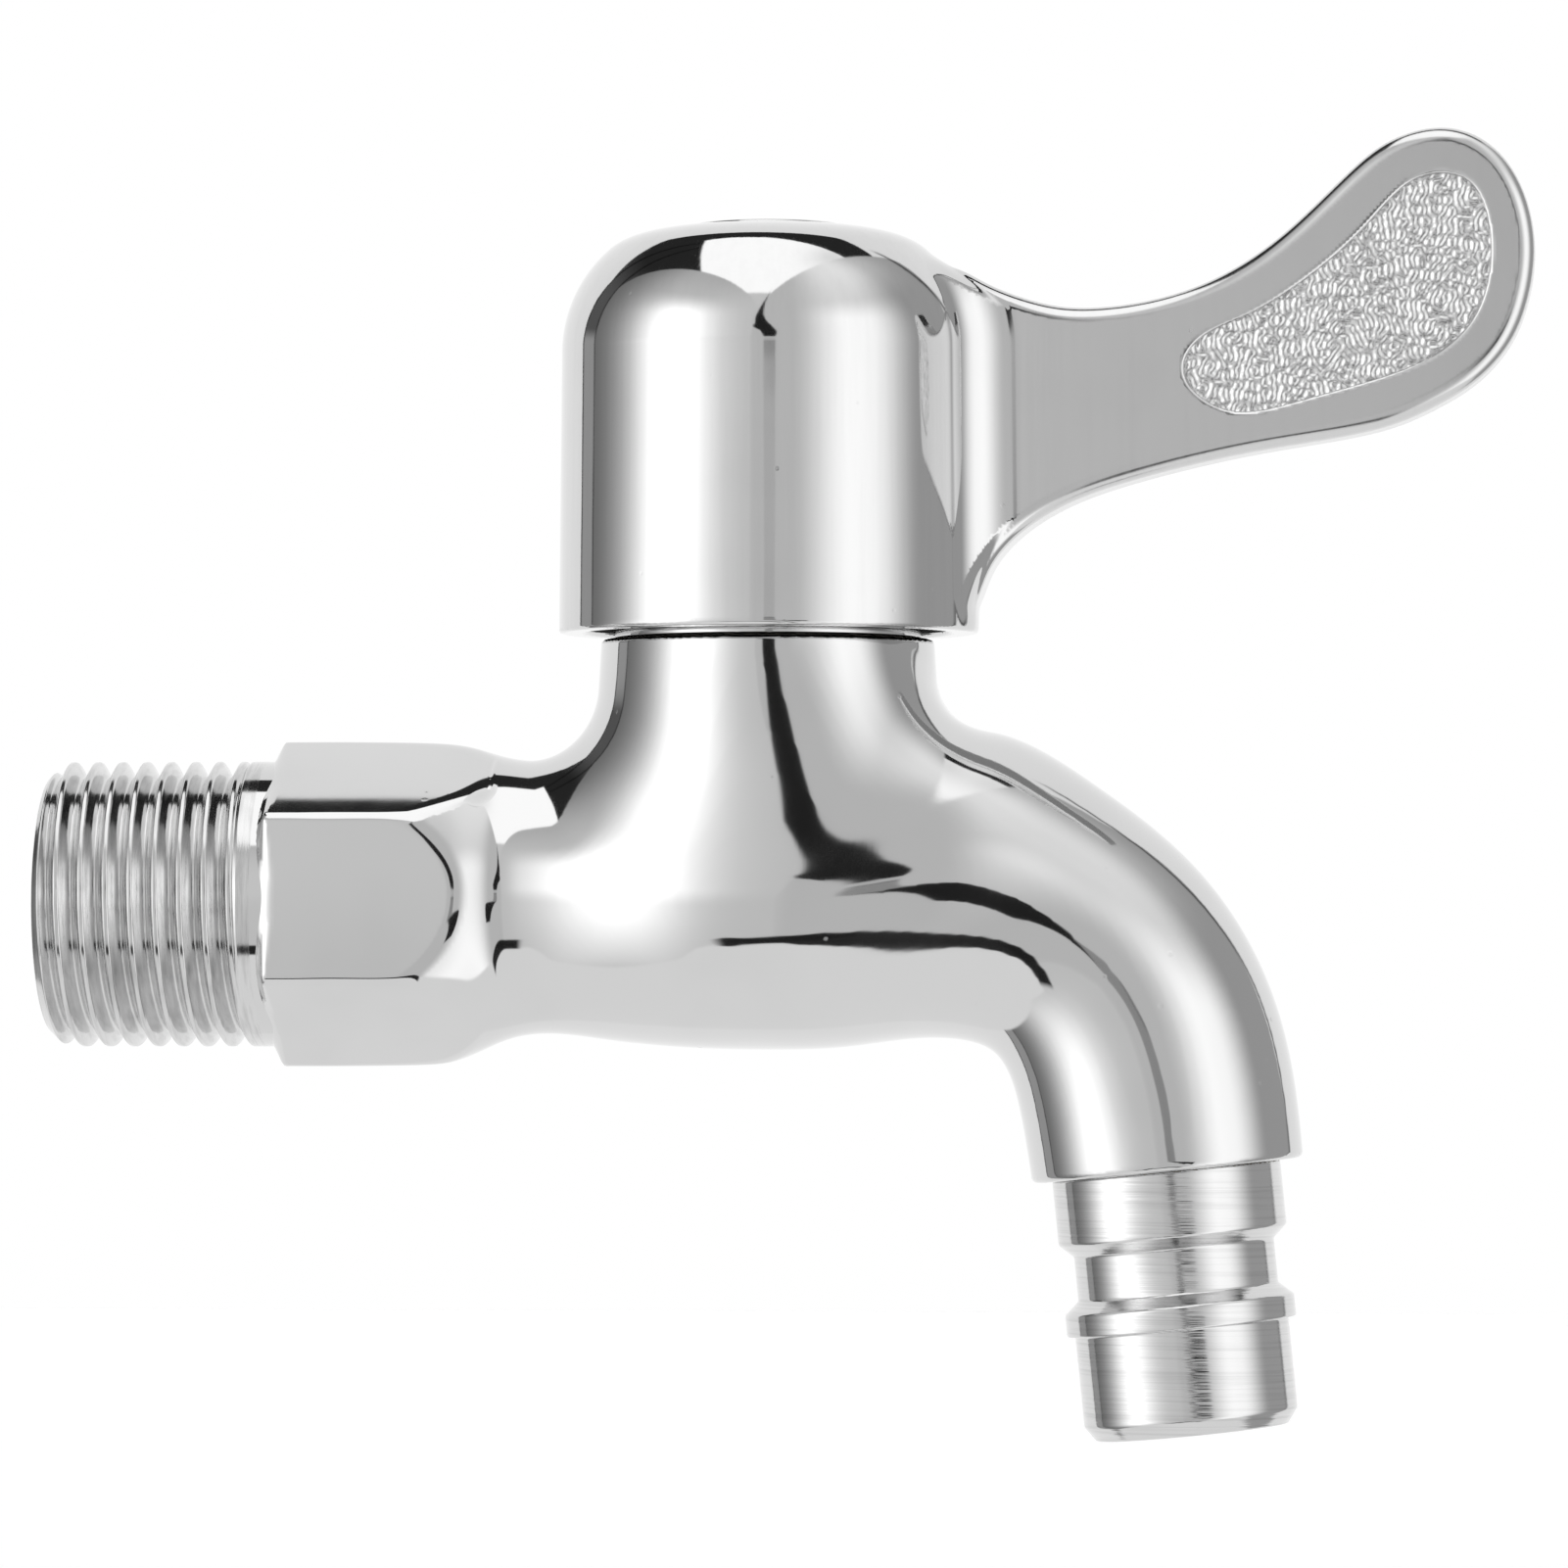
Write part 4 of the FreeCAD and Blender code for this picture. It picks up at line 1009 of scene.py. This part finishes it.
# Studio: a tent of two lit screens round the front with a slit between them, a
# white panel overhead, a white backdrop behind, a table below, and dark gaps.
# Azimuth is in degrees from the front towards the spout, height in degrees.
def make_world():
    world = bpy.data.worlds.new("studio")
    bpy.context.scene.world = world
    world.use_nodes = True
    tree = world.node_tree
    where = tree.nodes.new("ShaderNodeTexCoord")
    split = tree.nodes.new("ShaderNodeSeparateXYZ")
    tree.links.new(where.outputs["Generated"], split.inputs[0])
    x, y, z = (Signal(tree, split.outputs[i]) for i in range(3))
    turn = x.math("ARCTAN2", y * -1.0) * math.degrees(1)
    height = z.math("ARCSINE") * math.degrees(1)
    # places on a ceiling one unit up
    lift = z.math("MAXIMUM", 0.02)
    across, behind = x / lift, y / lift
    near = behind.math("MINIMUM", 0.8)

    # the screen on the inlet's side, its hot spot moving inwards above the horizon
    hot_turn = height.smooth(-6.0, 8.0) * 8.5 - 57.0
    hot = turn.hump(hot_turn, 22.5) * height.hump(8.0, 40.0) * 1.35
    hot = hot * height.smooth(40.0, 22.0)
    left = turn.smooth(-112.0, -50.0) * 0.54 + 0.20
    left = left * (height.smooth(32.0, 60.0) * -0.22 + 1.0) + hot
    # the screen on the spout's side
    hot = turn.smooth(18.0, 54.0) * turn.smooth(100.0, 64.0)
    hot = hot * (height.smooth(18.0, 36.0) * -0.46 + 0.88)
    right = turn.smooth(20.0, 100.0) * -0.25 + 0.67
    right = right + turn.hump(88.0, 28.0) * height.smooth(30.0, 58.0) * 0.33 + hot

    # edges on the ceiling: both screens, the overhead panel and the backdrop
    left_edge = (near * 1.05).math("EXPONENT") * -1.03 + 0.17
    right_edge = (near * 0.85).math("EXPONENT") * 0.30 + near * 0.09 + 0.185
    right_edge = right_edge - near.hump(-1.2, 0.55) * 0.055
    on_left = (across - left_edge).smooth(0.02, -0.02) * turn.smooth(-107.8, -106.8)
    on_right = (across - right_edge).smooth(-0.02, 0.02) * turn.smooth(132.0, 130.5)
    overhead = (across - behind * 0.27).smooth(-0.44, -0.42)
    overhead = overhead * (behind + across * 0.22).smooth(0.20, 0.18)
    panel = turn.hump(90.0, 35.0) * height.hump(66.0, 9.0) * -0.4 + 1.45
    panel = panel.blend(0.78, behind.smooth(-1.03, -1.15))
    backdrop_edge = (across * -0.22 + 0.53).math("MAXIMUM", across * -0.6)
    beyond = (behind - backdrop_edge).smooth(-0.01, 0.01)

    level = height.smooth(48.0, 25.0) * 0.09 + height.smooth(12.0, 6.0) * 0.27 + 0.025
    edges = turn.hump(-120.4, 0.8) + turn.hump(-107.6, 0.8)
    level = level * (edges * -0.9 + 1.0)
    level = level.blend(panel, overhead)
    level = level.blend(1.0, beyond)
    level = level.blend(left, on_left * x.smooth(0.05, -0.05))
    level = level.blend(right, on_right * x.smooth(-0.12, -0.02))
    table_edge = turn.window(-38.0, 20.0, 10.0) * 9.0 - 49.0
    level = level.blend(0.95, (height - table_edge).smooth(1.5, -1.5))

    # the dark opening in front, with its foot, and the gap at the table's edge
    near_side = height.curve([
        (-18.0, 19.0), (-13.0, 16.5), (-8.0, 12.5), (-4.0, 7.0), (-2.0, 3.6), (5.0, 3.4),
        (10.0, 1.6), (12.0, -0.4), (14.0, -2.4), (17.0, -1.7), (20.5, -1.6), (25.0, -0.5),
        (41.0, 6.0),
    ])
    far_side = height.curve([
        (-18.0, 27.5), (-5.0, 27.0), (-4.0, 26.0), (-3.0, 18.0), (-2.0, 10.6), (4.0, 9.4),
        (9.0, 10.6), (12.0, 9.4), (15.0, 7.6), (18.0, 5.4), (21.0, 4.0), (26.0, 3.2),
        (41.0, 6.4),
    ])
    opening = (turn - near_side).smooth(-0.5, 0.5) * (turn - far_side).smooth(0.5, -0.5)
    opening = opening * height.smooth(-18.0, -17.0)
    opening = opening * (height.window(3.3, 5.7, 0.2) * -0.88 + 1.0)
    opening = opening * (height.window(-3.2, 3.0, 0.6) * -0.5 + 1.0)
    bend = (turn + 5.0).math("MAXIMUM", 0.0)
    half_gap = turn.smooth(-8.0, 10.0) * 2.0 + 3.8
    gap = (height + 37.5 + bend * bend * 0.018).math("ABSOLUTE") - half_gap
    gap = gap.smooth(0.8, -0.8)
    gap = gap * turn.window(-24.0, 26.0, 3.0)
    seam = (turn - 131.0 - (height * 0.12).math("SINE") * 3.0).hump(0.0, 1.6)
    seam = seam * height.window(-6.0, 52.0, 3.0)
    for mark, depth in ((opening, 0.97), (gap, 0.97), (seam, 0.8)):
        level = level * (mark * -depth + 1.0)

    rays = tree.nodes.new("ShaderNodeLightPath")
    seen = Signal(tree, rays.outputs["Is Camera Ray"])
    shown = level.blend(1.0, seen)
    tree.links.new(shown.socket, tree.nodes["Background"].inputs["Strength"])
    tree.nodes["Background"].inputs["Color"].default_value = (1, 1, 1, 1)


make_world()


# Finishes of the pieces that show
BRASS_DARK, BRASS = (0.30, 0.19, 0.075), (0.78, 0.58, 0.30)
cast_inside = raw_casting("raw_brass_casting", (0.10, 0.075, 0.045), (0.34, 0.25, 0.14), 0.6)
zinc_inside = raw_casting("raw_zinc_casting", grey(0.07), grey(0.26), 0.6)


def inside_body(x, y, z):
    """The walls of the passages, which stay unplated."""
    tower_r = np.hypot(x - TOWER_X, y)
    inlet_r = np.hypot(y, z)
    bore = (x < 30.0) & (inlet_r < BORE_R + 0.3)
    chamber = (tower_r < 9.8) & (z > 0.3)
    feed = (np.abs(x - FEED_X) < 12.5) & (np.hypot(y, z - FEED_Z) < FEED_R + 0.3)
    plan = spine_place(x, z)
    spine_x, spine_z = (np.interp(plan, SPINE_T, SPINE[:, i]) for i in (0, 1))
    across = np.hypot(x - spine_x, z - spine_z)
    outlet = (x > 40.0) & (z < 6.0) & (np.hypot(across, y) < 8.2) & (z > -28.0)
    return bore | chamber | feed | outlet


def on_grip(x, y, z):
    level = np.abs(y) - half_thickness(x) + GRIP_DEPTH
    grip = outline_distance(GRIP_TABLE, x, z)[0]
    return (x > TOWER_X + 29.0) & (np.abs(level) < 0.2) & (grip < 0.3)


def inside_bell(x, y, z):
    r = np.hypot(x - TOWER_X, y)
    return (bell_distance(r, z) < -1.2) & (z > RIM_Z + 0.4)


wear(body, chrome_casting(), plated_thread(), cast_inside)
dress_faces(body, 1, lambda x, y, z: x < -0.35)
dress_faces(body, 2, inside_body)
wear(nozzle, turned_chrome())
wear(handle, chrome_handle(), pebbled(), zinc_inside)
dress_faces(handle, 1, on_grip)
dress_faces(handle, 2, inside_bell)
wear(button, chrome_button())

# Finishes of the pieces inside, which stay as the CAD has them
bright_brass = turned_metal("turned_brass", BRASS_DARK, BRASS, 0.32, 0.02)
spring_steel = turned_metal("spring_steel", (0.20, 0.20, 0.21), (0.55, 0.55, 0.56), 0.35, 0.01)
bright_steel = turned_metal("bright_steel", (0.30, 0.30, 0.31), (0.62, 0.62, 0.63), 0.28, 0.01)
rubber = moulded("black_rubber", grey(0.010), grey(0.03), 0.6, 1800.0, 0.02)
fibre = moulded("grey_fibre", (0.10, 0.09, 0.08), (0.26, 0.24, 0.21), 0.8, 1100.0, 0.05)
ceramic = moulded("fired_ceramic", (0.70, 0.69, 0.66), (0.85, 0.84, 0.81), 0.22, 2600.0, 0.004)
plastic = moulded("white_plastic", (0.68, 0.68, 0.66), (0.82, 0.82, 0.80), 0.38, 1500.0, 0.008)
FINISH = {
    "brass": bright_brass,
    "brass_spindle": bright_brass,
    "fibre": fibre,
    "rubber": rubber,
    "ceramic": ceramic,
    "white_plastic": plastic,
    "spring_steel": spring_steel,
    "steel": bright_steel,
}
REPLACED = ("tap_body", "nozzle", "handle", "index_cap")
for part in frame["record"]["subparts"]:
    if part["node"] not in REPLACED:
        wear(frame["nodes"][part["node"]], FINISH[part["material_slot"]])


# Floor: a white table under the tap, which keeps its shadow
def make_floor():
    corners = 900.0 * np.array([(-1, -1, 0), (1, -1, 0), (1, 1, 0), (-1, 1, 0)])
    floor = make_mesh("floor", corners + (TOWER_X, 0.0, FLOOR_Z), np.array([[0, 1, 2, 3]]))
    made = bpy.data.materials.new("white_table")
    made.use_nodes = True
    tree = made.node_tree
    shader = tree.nodes["Principled BSDF"]
    shader.inputs["Base Color"].default_value = (0.85, 0.85, 0.85, 1)
    shader.inputs["Roughness"].default_value = 0.7
    shader.inputs["Specular IOR Level"].default_value = 0.0
    rays = tree.nodes.new("ShaderNodeLightPath")
    seen = Signal(tree, rays.outputs["Is Camera Ray"])
    shader.inputs["Emission Color"].default_value = (1, 1, 1, 1)
    tree.links.new((seen * 0.30).socket, shader.inputs["Emission Strength"])
    # the metal mirrors the studio's own table, with the dark gap at its edge
    clear = tree.nodes.new("ShaderNodeBsdfTransparent")
    choice = tree.nodes.new("ShaderNodeMixShader")
    tree.links.new(rays.outputs["Is Glossy Ray"], choice.inputs["Fac"])
    tree.links.new(shader.outputs["BSDF"], choice.inputs[1])
    tree.links.new(clear.outputs["BSDF"], choice.inputs[2])
    tree.links.new(choice.outputs["Shader"], tree.nodes["Material Output"].inputs["Surface"])
    wear(floor, made)


make_floor()
